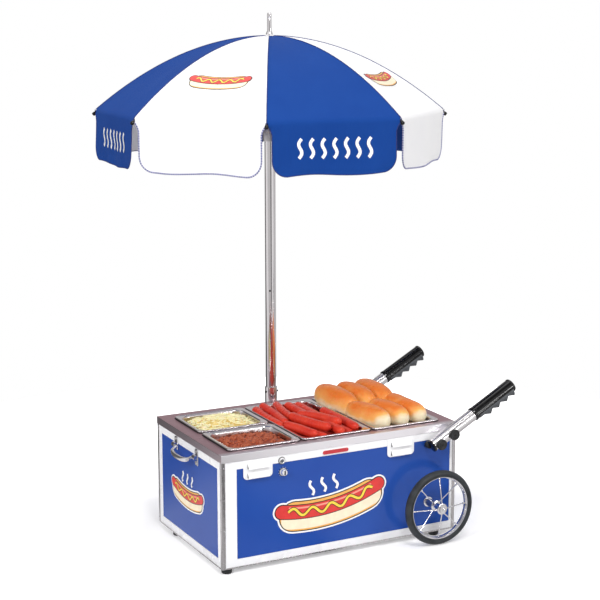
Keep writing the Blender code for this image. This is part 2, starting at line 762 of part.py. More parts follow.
def cart():
    white = material("white_enamel", (0.82, 0.83, 0.84), 0.35)
    blue = material("blue_panel", (0.028, 0.08, 0.38), 0.2)
    steel = material("stainless_steel", (0.62, 0.6, 0.59), 0.28, 1.0)
    chrome = material("chrome", (0.8, 0.8, 0.82), 0.1, 1.0)
    rubber = material("black_rubber", (0.03, 0.033, 0.034), 0.6)
    plastic = material("black_plastic", (0.015, 0.016, 0.017), 0.3)
    cloth = material("canopy_cloth", (0.02, 0.07, 0.36), 0.75)
    heater = material("heater_sheath", (0.25, 0.24, 0.23), 0.5, 1.0)
    foods = {
        "chili": material("chili_food", (0.3, 0.06, 0.02), 0.4),
        "cheese": material("cheese_food", (0.85, 0.75, 0.3), 0.6),
        "franks": material("frank_food", (0.6, 0.05, 0.02), 0.35),
        "buns": material("bun_food", (0.8, 0.25, 0.05), 0.5),
    }
    body_frame(white)
    base_plate(steel)
    side_panels(blue)
    feet(rubber)
    for name, x in VENT_X.items():
        vent_plate(name, x, white)
    temperature_knob(chrome)
    deck(steel)
    water_well(steel)
    heating_element(heater)
    pans_and_food(steel, foods)
    axle(steel)
    for place, side in (("front", -1), ("rear", 1)):
        wheel(f"{place}_wheel", side, chrome)
        tyre(f"{place}_tyre", side, rubber)
        push_handle(f"{place}_handle", side, chrome)
        grip(f"{place}_grip", side, plastic)
        for number, distance in enumerate(KNOB_AT):
            clamp_knob(f"{place}_knob_{number + 1}", side, distance, plastic)
    carry_handle(chrome)
    umbrella(chrome, steel, cloth)


for leftover in list(bpy.data.objects):
    bpy.data.objects.remove(leftover, do_unlink=True)
CART = new_collection("push_vending_cart")
HELPERS = new_collection("helpers")
HELPERS.hide_render = True
cart()
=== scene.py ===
"""Looks of the push vending cart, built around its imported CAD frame.

Lengths are in millimetres in the row frame (+X towards the push handles, +Y towards the umbrella pole,
+Z up) and become metres where each mesh is made. Every mesh is drawn in place and rides on its CAD body.
"""

import json
import math
import random

import bmesh
import bpy
from mathutils import Matrix, Vector, noise

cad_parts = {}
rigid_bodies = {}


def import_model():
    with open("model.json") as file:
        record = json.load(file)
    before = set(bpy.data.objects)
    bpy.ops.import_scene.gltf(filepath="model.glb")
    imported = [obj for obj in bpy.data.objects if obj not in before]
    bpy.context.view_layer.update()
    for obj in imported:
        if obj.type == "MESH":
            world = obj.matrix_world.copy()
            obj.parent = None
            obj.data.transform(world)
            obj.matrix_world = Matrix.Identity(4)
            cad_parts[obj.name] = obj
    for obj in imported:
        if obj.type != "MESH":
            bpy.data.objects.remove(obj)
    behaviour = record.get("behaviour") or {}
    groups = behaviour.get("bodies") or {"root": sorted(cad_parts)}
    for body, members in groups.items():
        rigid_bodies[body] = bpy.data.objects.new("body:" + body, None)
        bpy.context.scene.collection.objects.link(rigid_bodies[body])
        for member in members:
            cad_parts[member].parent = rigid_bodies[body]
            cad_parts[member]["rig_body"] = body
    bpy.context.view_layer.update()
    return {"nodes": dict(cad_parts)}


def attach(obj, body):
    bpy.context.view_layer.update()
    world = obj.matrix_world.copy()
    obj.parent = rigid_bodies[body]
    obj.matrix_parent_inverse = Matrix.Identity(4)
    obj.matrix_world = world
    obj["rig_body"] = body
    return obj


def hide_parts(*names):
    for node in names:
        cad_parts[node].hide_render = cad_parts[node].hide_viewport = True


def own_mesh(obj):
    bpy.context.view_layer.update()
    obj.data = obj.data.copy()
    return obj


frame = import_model()

MM = 0.001

# Body and deck
BODY_L, BODY_D, DECK_TOP = 594.0, 362.0, 258.0
FLOOR_Z = -12.0
FEET = {
    "foot_front_left": (-281.0, -167.0),
    "foot_rear_left": (-281.0, 106.0),
    "foot_front_right": (250.0, -167.0),
    "foot_rear_right": (250.0, 106.0),
}
VENTS = {"left_vent": -211.0, "right_vent": 149.0}
VENT_HALF, VENT_LOW, VENT_HIGH, VENT_T = 35.0, 197.0, 240.0, 2.0
KNOB_X, KNOB_Z, LAMP_Z = -150.0, 202.0, 228.0

# Pans
STATION_W, STATION_X, STATION_Y0, STATION_LEN = 176.0, (-269.5, -89.0, 91.5), -159.0, 308.0
SMALL_LEN, SMALL_PITCH = 149.0, 159.0
RIM_W, RIM_TOP, PAN_FLOOR, TRAY_FLOOR = 9.0, 262.3, 158.0, 248.0
SMALL_FRONT = (STATION_X[0], STATION_Y0, STATION_W, SMALL_LEN)
SMALL_REAR = (STATION_X[0], STATION_Y0 + SMALL_PITCH, STATION_W, SMALL_LEN)
MIDDLE = (STATION_X[1], STATION_Y0, STATION_W, STATION_LEN)
TRAY = (STATION_X[2], STATION_Y0, STATION_W, STATION_LEN)

# Wheels and handles
AXLE_X, AXLE_Z, AXLE_R, WHEEL_Y = 225.0, 75.8, 5.0, 228.0
TYRE_HALF, RIM_R, RIM_IN, RIM_HALF = 10.0, 74.0, 69.0, 7.0
HUB_FRONT, HUB_BACK, HUB_R = 19.0, 14.0, 13.0
HANDLE_Y, HANDLE_X, HANDLE_Z = 201.0, 223.3, 215.8
HANDLE_LENGTH, HANDLE_ANGLE, HANDLE_R = 238.0, math.radians(28.9), 14.3
GRIP_FROM, GRIP_TO, GRIP_R = 122.0, 245.0, 16.4
KNOBS_AT, KNOB_BELOW = (14.0, 53.0), 2.4
CARRY_Y, CARRY_HALF, CARRY_Z, CARRY_DROOP = 6.0, 58.0, 221.0, math.radians(31.0)
CARRY_PIVOT_X = -303.3

# Umbrella
POLE_X, POLE_Y, POLE_R = 8.0, 198.0, 13.0
SOCKET_FLOOR, SOCKET_TOP, SOCKET_R = 40.0, 291.0, 15.2
RIBS, RIB_TURN = 8, math.radians(-117.1)
HALF_TURN = math.pi / RIBS
CROWN_R, CROWN_Z, RIB_SAG, RIB_END = 21.0, 1127.0, 0.00102, 403.0
HOLE_R, HEM_R, CLOTH_LIFT, CLOTH_T = 9.0, 411.0, 6.8, 1.2
BEND, VALANCE, SLIT, CORNER = 8.0, 115.0, 12.0, 34.0
JOINT_R, JOINT_DROP, STRETCHER_LEN, RUNNER_REACH = 186.0, 6.0, 235.0, 27.0
FINIAL_TOP, FINIAL_R = 1188.0, 5.2


ROOT, UP = "cart_body", (0, 0, 1)


# Node materials --------------------------------------------------------------

EVEN = (1.0, 1.0, 1.0)
MATERIALS = {}

# What polished metal mirrors: the azimuth as a share of a turn, with its brightness.
STUDIO_BANDS = (
    (0.0, 0.9),
    (0.03, 0.62),
    (0.19, 0.58),
    (0.21, 0.1),
    (0.245, 0.1),
    (0.27, 0.85),
    (0.36, 0.9),
    (0.42, 0.55),
    (0.58, 0.65),
    (0.66, 0.55),
    (0.74, 0.6),
    (0.77, 0.1),
    (0.86, 0.14),
    (0.90, 0.85),
    (1.0, 0.95),
)


class Nodes:
    """Short ways to add nodes to a node tree."""

    def __init__(self, tree):
        self.tree = tree

    def feed(self, socket, value):
        """Links an input to an output socket, or sets it to a number, a vector or a colour."""
        if isinstance(value, bpy.types.NodeSocket):
            self.tree.links.new(value, socket)
        else:
            socket.default_value = (*value, 1.0) if socket.type == "RGBA" else value

    def node(self, kind, inputs=None, **settings):
        """A new node with its inputs, by name or number, and its settings."""
        made = self.tree.nodes.new(kind)
        for key, value in settings.items():
            setattr(made, key, value)
        for key, value in (inputs or {}).items():
            self.feed(made.inputs[key], value)
        return made

    def calc(self, operation, *values):
        return self.node("ShaderNodeMath", dict(enumerate(values)), operation=operation).outputs[0]

    def axes(self, vector):
        return self.node("ShaderNodeSeparateXYZ", {0: vector}).outputs

    def ramp(self, value, levels):
        """Nearly white light of a level for each position of the value."""
        made = self.node("ShaderNodeValToRGB", {0: value})
        elements = made.color_ramp.elements
        for position, _ in levels[1:-1]:
            elements.new(position)
        for element, (position, level) in zip(elements, levels):
            element.position = position
            element.color = (level, level * 0.98, level * 0.99, 1.0)
        return made.outputs[0]

    def studio(self, direction):
        """The brightness of the studio round the cart, from a vector's azimuth."""
        axes = self.axes(direction)
        around = self.calc("ARCTAN2", axes[1], axes[0])
        return self.ramp(self.calc("MULTIPLY_ADD", around, 0.5 / math.pi, 0.5), STUDIO_BANDS)


class Shader(Nodes):
    """A Principled material and the nodes that vary it."""

    def __init__(self, name, slot, color, roughness, metallic=0.0, specular=0.5, **inputs):
        self.material = bpy.data.materials.new(name + "_finish")
        self.material.use_nodes = True
        super().__init__(self.material.node_tree)
        self.shader = self.tree.nodes["Principled BSDF"]
        self.slot, self.color, self.heights = slot, color, None
        self.put("Base Color", color)
        self.put("Roughness", roughness)
        self.put("Metallic", metallic)
        self.put("Specular IOR Level", specular)
        for key, value in inputs.items():
            self.put(key.replace("_", " "), value)
        MATERIALS[name] = self

    def put(self, key, value):
        self.feed(self.shader.inputs[key], value)

    def place(self, scale=EVEN):
        """Object coordinates in metres, stretched per axis."""
        coordinates = self.node("ShaderNodeTexCoord").outputs["Object"]
        return self.node("ShaderNodeMapping", {"Vector": coordinates, "Scale": scale}).outputs[0]

    def attribute(self, name):
        return self.node("ShaderNodeAttribute", attribute_name=name).outputs["Fac"]

    def noise(self, scale, detail=3.0, stretch=EVEN):
        inputs = {"Vector": self.place(stretch), "Scale": scale, "Detail": detail}
        return self.node("ShaderNodeTexNoise", inputs).outputs["Fac"]

    def between(self, value, low, high, start=0.3, end=0.7):
        """The value, mapped from start..end to low..high."""
        inputs = {"Value": value, "From Min": start, "From Max": end, "To Min": low, "To Max": high}
        return self.node("ShaderNodeMapRange", inputs).outputs[0]

    def blend(self, factor, first, second):
        return self.node("ShaderNodeMix", {0: factor, 6: first, 7: second}, data_type="RGBA").outputs[2]

    def mottle(self, other, scale, amount=1.0, detail=3.0, stretch=EVEN):
        """Varies the base colour towards another one."""
        factor = self.between(self.noise(scale, detail, stretch), 0.0, amount)
        self.put("Base Color", self.blend(factor, self.color, other))
        return self

    def wear(self, scale, low, high, stretch=EVEN):
        """Varies the roughness."""
        self.put("Roughness", self.between(self.noise(scale, 4.0, stretch), low, high))
        return self

    def bump(self, height, distance):
        inputs = {"Height": height, "Distance": distance, "Strength": 1.0}
        if self.heights:
            inputs["Normal"] = self.heights
        self.heights = self.node("ShaderNodeBump", inputs).outputs[0]
        self.put("Normal", self.heights)
        return self

    def grain(self, scale, distance, stretch=EVEN, detail=3.0):
        return self.bump(self.noise(scale, detail, stretch), distance)

    def weave(self, pitch, distance):
        """Crossed threads of a plain-woven cloth."""
        threads = []
        for direction in ("X", "Y"):
            inputs = {"Vector": self.place(), "Scale": pitch, "Distortion": 0.6, "Detail Scale": 2.0}
            threads.append(self.node("ShaderNodeTexWave", inputs, bands_direction=direction).outputs["Fac"])
        return self.bump(self.calc("MULTIPLY", *threads), distance)


def metal(name, slot, color, low, high, brushed=EVEN):
    """A metal whose fine brush lines run along the axis where brushed is small."""
    made = Shader(name, slot, color, low, 1.0)
    darker = tuple(c * 0.86 for c in color)
    made.mottle(darker, 260.0, 0.5, 4.0, brushed)
    return made.wear(330.0, low, high, brushed).grain(700.0, 0.00001, brushed)


def build_paint():
    enamel = Shader("white_enamel", "white_enamel", (0.93, 0.93, 0.94), 0.3)
    low_down = enamel.between(enamel.axes(enamel.place())[2], 0.5, 0.0, 0.0, 0.035)
    grime = enamel.calc("MULTIPLY", low_down, enamel.noise(45.0, 5.0))
    enamel.put("Base Color", enamel.blend(grime, enamel.color, (0.55, 0.55, 0.56)))
    enamel.wear(30.0, 0.22, 0.4).grain(700.0, 0.00002)
    blue = Shader("blue_panel", "blue_panel", (0.017, 0.068, 0.345), 0.12, specular=0.26)
    blue.mottle((0.022, 0.082, 0.38), 5.0).wear(18.0, 0.1, 0.22).grain(4.0, 0.0006).grain(900.0, 0.00001)


def build_metals():
    """The plain metals, and the deck, whose colour holds painted light: a brownish painted reflection on its
    top with a painted highlight along the top's front edge, painted light on its front skirt and painted
    shade on its left skirt.
    """
    metal("pan_steel", "steel", (0.82, 0.78, 0.79), 0.1, 0.2, (1.0, 0.06, 1.0))
    metal("plain_steel", "steel", (0.62, 0.60, 0.60), 0.25, 0.4, (0.1, 1.0, 1.0))
    metal("trim_metal", "steel", (0.62, 0.605, 0.615), 0.2, 0.32, (1.0, 1.0, 0.04))
    metal("rib_metal", "rib_steel", (0.5, 0.5, 0.52), 0.25, 0.4)
    metal("heater_metal", "heater_sheath", (0.3, 0.29, 0.27), 0.4, 0.6)
    chrome = Shader("chrome", "chrome", (0.84, 0.84, 0.86), 0.05, 1.0)
    chrome.mottle((0.76, 0.76, 0.79), 25.0, 0.6).wear(55.0, 0.03, 0.1).grain(14.0, 0.00004)
    bright = Shader("knob_chrome", "chrome", (0.97, 0.97, 0.98), 0.16, 0.75)
    bright.mottle((0.90, 0.90, 0.92), 40.0, 0.6).wear(90.0, 0.12, 0.22)
    pole = Shader("pole_chrome", "chrome", (0.84, 0.825, 0.83), 0.15, 1.0)
    pole.mottle((0.78, 0.76, 0.77), 18.0, 0.6).wear(30.0, 0.12, 0.18)
    along_x = (0.04, 1.0, 1.0)
    deck = metal("deck_steel", "steel", (0.40, 0.29, 0.315), 0.27, 0.38, along_x)
    # Painted light by facing: a darker brownish painted reflection on the top, a near-white front skirt and a
    # darker left skirt.
    facing = deck.axes(deck.node("ShaderNodeNewGeometry").outputs["Normal"])
    is_top = deck.between(facing[2], 0.0, 1.0, 0.35, 0.9)
    left_skirt_shade = deck.between(facing[0], 1.0, 0.0, -0.9, -0.4)
    # Painted highlight: a light band along the front edge of the top.
    edge_highlight = deck.between(deck.axes(deck.place())[1], 1.0, 0.0, -0.178, -0.160)
    streaks = deck.between(deck.noise(260.0, 4.0, along_x), 0.0, 0.6)
    brushed = deck.blend(streaks, (0.50, 0.29, 0.33), (0.43, 0.25, 0.285))
    top = deck.blend(edge_highlight, brushed, (0.74, 0.68, 0.72))
    lit_and_shaded_skirt = deck.blend(left_skirt_shade, (0.97, 0.95, 0.98), (0.62, 0.53, 0.57))
    deck.put("Base Color", deck.blend(is_top, lit_and_shaded_skirt, top))


def build_rubbers():
    tyre = Shader("tyre_rubber", "tyre", (0.022, 0.025, 0.028), 0.45, specular=0.3)
    tyre.mottle((0.042, 0.047, 0.051), 38.0).wear(60.0, 0.42, 0.62).grain(650.0, 0.00006)
    foot = Shader("foot_rubber", "foot_rubber", (0.012, 0.013, 0.014), 0.45, specular=0.3)
    foot.mottle((0.03, 0.031, 0.033), 90.0).grain(800.0, 0.00005)
    plastic = Shader("grip_plastic", "grip_plastic", (0.002, 0.002, 0.0022), 0.08, specular=0.45)
    plastic.mottle((0.004, 0.004, 0.0045), 70.0).wear(40.0, 0.07, 0.1)
    soft = Shader("grip_soft", "grip_plastic", (0.070, 0.076, 0.082), 0.42, specular=0.3)
    soft.mottle((0.095, 0.102, 0.110), 60.0).wear(90.0, 0.36, 0.5).grain(700.0, 0.00005)


def build_cloths():
    """The two colours of canopy cloth, and the plain and dotted cords."""
    for name, color, other in (
        ("cloth_blue", (0.007, 0.052, 0.27), (0.010, 0.062, 0.30)),
        ("cloth_white", (0.93, 0.93, 0.93), (0.88, 0.88, 0.90)),
    ):
        cloth = Shader(name, "canopy_cloth", color, 0.78, specular=0.08, Sheen_Weight=0.03)
        cloth.mottle(other, 9.0, 0.8, 4.0).weave(420.0, 0.00012).grain(30.0, 0.0003)
    navy = Shader("cord_navy", "canopy_cloth", (0.012, 0.022, 0.13), 0.7)
    navy.mottle((0.03, 0.045, 0.2), 400.0).grain(900.0, 0.0002)
    dotted = Shader("cord_dotted", "canopy_cloth", (0.8, 0.8, 0.85), 0.7)
    wave = dotted.calc("SINE", dotted.calc("MULTIPLY", dotted.attribute("along"), 1.15))
    spots = dotted.between(wave, 0.0, 1.0, -0.15, 0.15)
    dotted.put("Base Color", dotted.blend(spots, (0.05, 0.06, 0.22), (0.50, 0.50, 0.66)))
    dotted.grain(900.0, 0.0002)


def build_foods():
    """The colours of the food. The bun's crust is brown on top, orange lower down and pale at the foot; the
    paler front end of a front-row bun is a painted highlight.
    """
    translucent = {"Subsurface_Weight": 0.15, "Subsurface_Scale": 0.004}
    cheese = Shader("cheese", "cheese", (0.95, 0.84, 0.42), 0.5, specular=0.3, **translucent)
    cheese.mottle((0.99, 0.93, 0.66), 85.0, 1.0, 5.0).grain(500.0, 0.0002)
    deep = Shader("cheese_deep", "cheese", (0.66, 0.43, 0.09), 0.6, specular=0.2)
    deep.mottle((0.90, 0.72, 0.30), 120.0, 1.0, 5.0).grain(300.0, 0.0006)
    sauce = Shader("chili_sauce", "chili", (0.17, 0.022, 0.010), 0.24, specular=0.3)
    sauce.mottle((0.40, 0.075, 0.03), 95.0, 1.0, 5.0).wear(80.0, 0.22, 0.5).grain(180.0, 0.0012, detail=5.0)
    meat = Shader("chili_meat", "chili", (0.32, 0.055, 0.025), 0.38, specular=0.3)
    meat.mottle((0.52, 0.15, 0.07), 140.0, 1.0, 5.0).wear(100.0, 0.25, 0.6).grain(420.0, 0.0008, detail=5.0)
    frank = Shader("frank_skin", "franks", (0.62, 0.030, 0.018), 0.28, specular=0.3)
    frank.mottle((0.74, 0.060, 0.028), 26.0, 1.0, 4.0).wear(60.0, 0.2, 0.36).grain(260.0, 0.00005)
    bun = Shader("bun_crust", "buns", (0.84, 0.24, 0.04), 0.3, specular=0.3, Subsurface_Weight=0.08)
    ragged = bun.calc("ADD", bun.attribute("crust_and_highlight"), bun.between(bun.noise(28.0, 4.0), -0.16, 0.16))
    is_side, is_top = bun.between(ragged, 0.0, 1.0, 0.18, 0.5), bun.between(ragged, 0.0, 1.0, 0.5, 1.0)
    side = bun.blend(is_side, (0.97, 0.84, 0.60), (0.93, 0.47, 0.13))
    bun.put("Base Color", bun.blend(is_top, side, (0.80, 0.20, 0.028)))
    bun.wear(40.0, 0.22, 0.4).grain(420.0, 0.0001).grain(40.0, 0.0005)


def build_inks():
    for name, color, roughness in (
        ("ink_white", (0.93, 0.93, 0.92), 0.35),
        ("ink_black", (0.014, 0.013, 0.013), 0.3),
        ("ink_cream", (0.94, 0.80, 0.58), 0.35),
        ("ink_tan", (0.85, 0.42, 0.09), 0.35),
        ("ink_red", (0.68, 0.035, 0.03), 0.3),
        ("ink_pink", (0.88, 0.32, 0.24), 0.3),
        ("ink_yellow", (0.94, 0.66, 0.06), 0.3),
        ("badge_red", (0.50, 0.03, 0.04), 0.2),
        # Painted shade: a near-black finish for pieces that stand for the shade in gaps and under louvres.
        ("painted_shade", (0.02, 0.02, 0.022), 0.6),
        ("lens", (0.10, 0.11, 0.13), 0.08),
    ):
        lighter = tuple(min(1.0, c * 1.12 + 0.004) for c in color)
        Shader(name, "blue_panel", color, roughness).mottle(lighter, 60.0).grain(1200.0, 0.00001)


# Meshes ----------------------------------------------------------------------


def make(name, bm, body, surface, smooth=35.0, stands_for=()):
    """The bmesh, drawn in millimetres, as a piece in metres that rides on a body."""
    bmesh.ops.scale(bm, vec=(MM, MM, MM), verts=bm.verts)
    bmesh.ops.recalc_face_normals(bm, faces=bm.faces)
    mesh = bpy.data.meshes.new(name)
    bm.to_mesh(mesh)
    bm.free()
    mesh.shade_smooth()
    mesh.set_sharp_from_angle(angle=math.radians(smooth))
    return dress(bpy.data.objects.new(name, mesh), body, surface, stands_for)


def dress(made, body, surface, stands_for):
    bpy.context.scene.collection.objects.link(made)
    made.data.materials.append(MATERIALS[surface].material)
    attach(made, body)
    if stands_for:
        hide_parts(*stands_for)
    return made


def skin(bm, rings, close=False):
    """Faces between rings of vertices; a ring of one vertex is a point."""
    pairs = list(zip(rings, rings[1:]))
    if close:
        pairs.append((rings[-1], rings[0]))
    for first, second in pairs:
        a, b = len(first), len(second)
        for i in range(max(a, b)):
            j = (i + 1) % max(a, b)
            corners = list(dict.fromkeys((first[i % a], first[j % a], second[j % b], second[i % b])))
            if len(corners) > 2:
                bm.faces.new(corners)


def turns(count):
    return [2 * math.pi * i / count for i in range(count)]


def arc(cx, cy, radius, first, last, steps):
    """Points from one angle to another, in degrees, around a centre."""
    angles = [math.radians(first + (last - first) * step / steps) for step in range(steps + 1)]
    return [(cx + radius * math.cos(angle), cy + radius * math.sin(angle)) for angle in angles]


def merged(first, *others):
    for other in others:
        carrier = bpy.data.meshes.new("carrier")
        other.to_mesh(carrier)
        other.free()
        first.from_mesh(carrier)
        bpy.data.meshes.remove(carrier)
    return first


def lathe(profile, centre, axis, steps, close=False):
    """A turned shape: (radius, height) points around an axis. A radius of 0 closes it there."""
    turn = Vector(axis).to_track_quat("Z", "Y")
    bm = bmesh.new()
    rings = []
    for radius, height in profile:
        spots = turns(steps) if radius else [0.0]
        ring = [Vector((radius * math.cos(a), radius * math.sin(a), height)) for a in spots]
        rings.append([bm.verts.new(Vector(centre) + turn @ point) for point in ring])
    skin(bm, rings, close)
    return bm


def tube(points, radius, sides, flat=1.0, up=None):
    """A bar swept along points. radius is one number or one per point; flat squeezes it across up."""
    points = [Vector(point) for point in points]
    radii = radius if isinstance(radius, list) else [radius] * len(points)
    bm = bmesh.new()
    along = bm.verts.layers.float.new("along")
    side, rings, travelled = Vector(up) if up else None, [], 0.0
    for i, point in enumerate(points):
        ahead = (points[min(i + 1, len(points) - 1)] - points[max(i - 1, 0)]).normalized()
        side = side if side else ahead.orthogonal()
        side = (side - ahead * side.dot(ahead)).normalized()
        other = ahead.cross(side)
        travelled += (point - points[i - 1]).length if i else 0.0
        offsets = [side * math.cos(angle) + other * math.sin(angle) * flat for angle in turns(sides)]
        rings.append([bm.verts.new(point + offset * radii[i]) for offset in offsets])
        for vert in rings[-1]:
            vert[along] = travelled
    skin(bm, rings)
    bm.faces.new(rings[0])
    bm.faces.new(rings[-1])
    return bm


def rod(start, end, radius, sides, edge=0.0):
    """A round bar between two points, with bevelled ends if it has an edge."""
    along = Vector(end) - Vector(start)
    far = along.length
    side = [(radius, edge), (radius, far - edge)]
    if edge:
        side = [(radius - edge, 0), *side, (radius - edge, far)]
    return lathe([(0, 0), *side, (0, far)], start, along, sides)


def block(low, high, bevel, segments=2):
    bm = bmesh.new()
    size = [b - a for a, b in zip(low, high)]
    middle = [(a + b) / 2 for a, b in zip(low, high)]
    bmesh.ops.create_cube(bm, size=1.0, matrix=Matrix.Translation(middle) @ Matrix.Diagonal((*size, 1.0)))
    bmesh.ops.bevel(
        bm, geom=bm.edges[:], offset=bevel, segments=segments, profile=0.5, affect="EDGES", clamp_overlap=True
    )
    return bm


def loft(loops):
    """A skin over loops of points. A loop of one point closes it there; any other end gets a face."""
    bm = bmesh.new()
    rings = [[bm.verts.new(point) for point in loop] for loop in loops]
    skin(bm, rings)
    for end in (rings[0], rings[-1]):
        if len(end) > 1:
            bm.faces.new(end)
    return bm


def rounded(x0, y0, x1, y1, radius, steps=8):
    """Points of a rounded rectangle, anticlockwise."""
    left, right, low, high = x0 + radius, x1 - radius, y0 + radius, y1 - radius
    points = []
    for first, centre in ((0, (right, high)), (90, (left, high)), (180, (left, low)), (270, (right, low))):
        points += arc(*centre, radius, first, first + 90, steps)
    return points


def refined(name, surface, bevel, segments=2):
    """A copy of a CAD node with its flat faces whole and its edges broken."""
    node = frame["nodes"][name]
    bm = bmesh.new()
    bm.from_mesh(node.data)
    bmesh.ops.remove_doubles(bm, verts=bm.verts, dist=1e-6)
    bmesh.ops.dissolve_limit(bm, angle_limit=math.radians(0.5), verts=bm.verts, edges=bm.edges)
    bmesh.ops.scale(bm, vec=(1 / MM,) * 3, verts=bm.verts)
    made = make(name + "_finished", bm, node["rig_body"], surface, 30.0, (name,))
    edge = made.modifiers.new("edge", "BEVEL")
    edge.width, edge.segments = bevel * MM, segments
    edge.limit_method, edge.angle_limit = "ANGLE", math.radians(30)
    edge.harden_normals = True


def on_front(u, v, out):
    return Vector((u, -BODY_D / 2 - out, v))


def on_left(u, v, out):
    return Vector((-BODY_L / 2 - out, u, v))


def screw_head(centre, axis, radius):
    """A pan-head screw."""
    profile = [(0, 1.6), (radius * 0.5, 1.5), (radius * 0.85, 1.0), (radius, 0.2), (radius, -0.5), (0, -0.5)]
    return lathe(profile, centre, axis, 16)


# Body ------------------------------------------------------------------------


def build_body():
    refined("body_frame", "white_enamel", 1.2)
    for name in ("front_panel", "rear_panel", "left_panel", "right_panel"):
        refined(name, "blue_panel", 0.5)
    refined("base_plate", "plain_steel", 0.4)
    refined("water_well", "plain_steel", 0.5)
    refined("deck", "deck_steel", 1.3, 3)
    refined("axle", "plain_steel", 0.6)
    corner_trims()
    foot = [(0, 0.2), (6, 0.2), (6, -1.5), (12, -1.5), (12.3, -3), (11.6, -10.6), (10.6, -11.7), (0, -11.7)]
    for name, (x, y) in FEET.items():
        make(name + "_rubber", lathe(foot, (x, y, 0), UP, 36), ROOT, "foot_rubber", 35, (name,))
        make(name + "_screw", screw_head((x, y, -10.2), (0, 0, -1), 3.5), ROOT, "plain_steel")
    for name, x in VENTS.items():
        vent(name, x)
    controls()
    heater = tube(heater_path(), 4.0, 16)
    make("heating_element_sheath", heater, ROOT, "heater_metal", 40, ("heating_element",))


def corner_trims():
    """Folded metal angles on the four upright corners, a strip along the lower edges and their rivets."""
    leg, thick, top, proud = 8.0, 0.9, 240.4, 0.05
    half_x, half_y = BODY_L / 2 + proud, BODY_D / 2 + proud
    outer = [(-leg, thick * 0.6), (0.6 - leg, thick), (-1.2, thick), (thick * 0.5, thick * 0.5)]
    outer += [(thick, -1.2), (thick, 0.6 - leg), (thick * 0.6, -leg)]
    section = [(-leg, 0.0), *outer, (0.0, -leg), (0.0, 0.0)]
    for number, (sx, sy) in enumerate(((-1, -1), (1, -1), (1, 1), (-1, 1))):
        x, y = sx * half_x, sy * half_y
        trim = loft([[(x + sx * u, y + sy * v, z) for u, v in section] for z in (0.6, top)])
        make(f"corner_trim_{number + 1}", trim, ROOT, "trim_metal", 30)
        rivets = bmesh.new()
        for z in (14.0, 88.0, 158.0, 229.0):
            merged(rivets, screw_head((x - sx * 4.4, y + sy * thick, z), (0, sy, 0), 1.7))
            merged(rivets, screw_head((x + sx * thick, y - sy * 4.4, z), (sx, 0, 0), 1.7))
        make(f"corner_rivets_{number + 1}", rivets, ROOT, "trim_metal")
    gap = BODY_L / 2 - 288.8
    for name, along, half, side in (
        ("front", BODY_L / 2 - gap, half_y, -1),
        ("rear", BODY_L / 2 - gap, half_y, 1),
        ("left", BODY_D / 2 - gap, half_x, -1),
        ("right", BODY_D / 2 - gap, half_x, 1),
    ):
        low, high = sorted((side * half, side * (half + thick)))
        ends = ((-along, low), (along, high)) if half == half_y else ((low, -along), (high, along))
        strip = block((*ends[0], 0.3), (*ends[1], 3.4), 0.3)
        make(f"bottom_trim_{name}", strip, ROOT, "trim_metal", 30)


def vent(name, x):
    """A plate with rounded lower corners and two louvres that open downwards, over dark boxes of painted
    shade in the slots.
    """
    corner, base = 9.0, BODY_D / 2 + 0.3
    outline = [(-VENT_HALF, VENT_HIGH), (VENT_HALF, VENT_HIGH)]
    outline += arc(VENT_HALF - corner, VENT_LOW + corner, corner, 0, -90, 6)
    outline += arc(-VENT_HALF + corner, VENT_LOW + corner, corner, -90, -180, 6)
    inner = [(u * 0.985, VENT_LOW + (v - VENT_LOW) * 0.975 + 0.5) for u, v in outline]
    layers = ((outline, 0), (outline, 1.4), (inner, 2.0))
    plate = loft([[(x + u, -base - t, v) for u, v in line] for line, t in layers])
    make(f"{name}_plate", plate, ROOT, "white_enamel", 30, (name,))
    front = -base - VENT_T
    hood = [(6.8, 0.0), (6.2, 0.9), (4.6, 1.5), (-4.2, 5.6), (-5.6, 5.7)]
    hood += [(-5.6, 4.8), (-4.4, 4.6), (4.4, 0.5), (5.6, 0.0)]
    inside = [(5.8, 0.2), (4.4, 0.5), (-4.2, 4.6), (-5.2, 4.7), (-5.2, 0.2)]
    # The slot boxes and the shade pieces under the louvres are painted shade: dark pieces where the slots lie
    # in shadow.
    for number, z in enumerate((206.0, 226.5)):
        slot = block((x - 25.5, front - 0.25, z - 5.6), (x + 25.5, front + 0.4, z + 5.2), 0.2, 1)
        make(f"{name}_slot_{number + 1}", slot, ROOT, "painted_shade", 30)
        for part, section, ends, surface in (
            ("louvre", hood, (-25.0, 25.5), "white_enamel"),
            ("shade", inside, (-24.0, 24.0), "painted_shade"),
        ):
            loops = [[(x + u, front - t, z + v) for v, t in section] for u in ends]
            make(f"{name}_{part}_{number + 1}", loft(loops), ROOT, surface, 30)
        lip = block((x + 24.4, front - 5.4, z - 5.6), (x + 26.0, front + 0.2, z + 4.0), 0.5)
        make(f"{name}_louvre_end_{number + 1}", lip, ROOT, "white_enamel", 30)


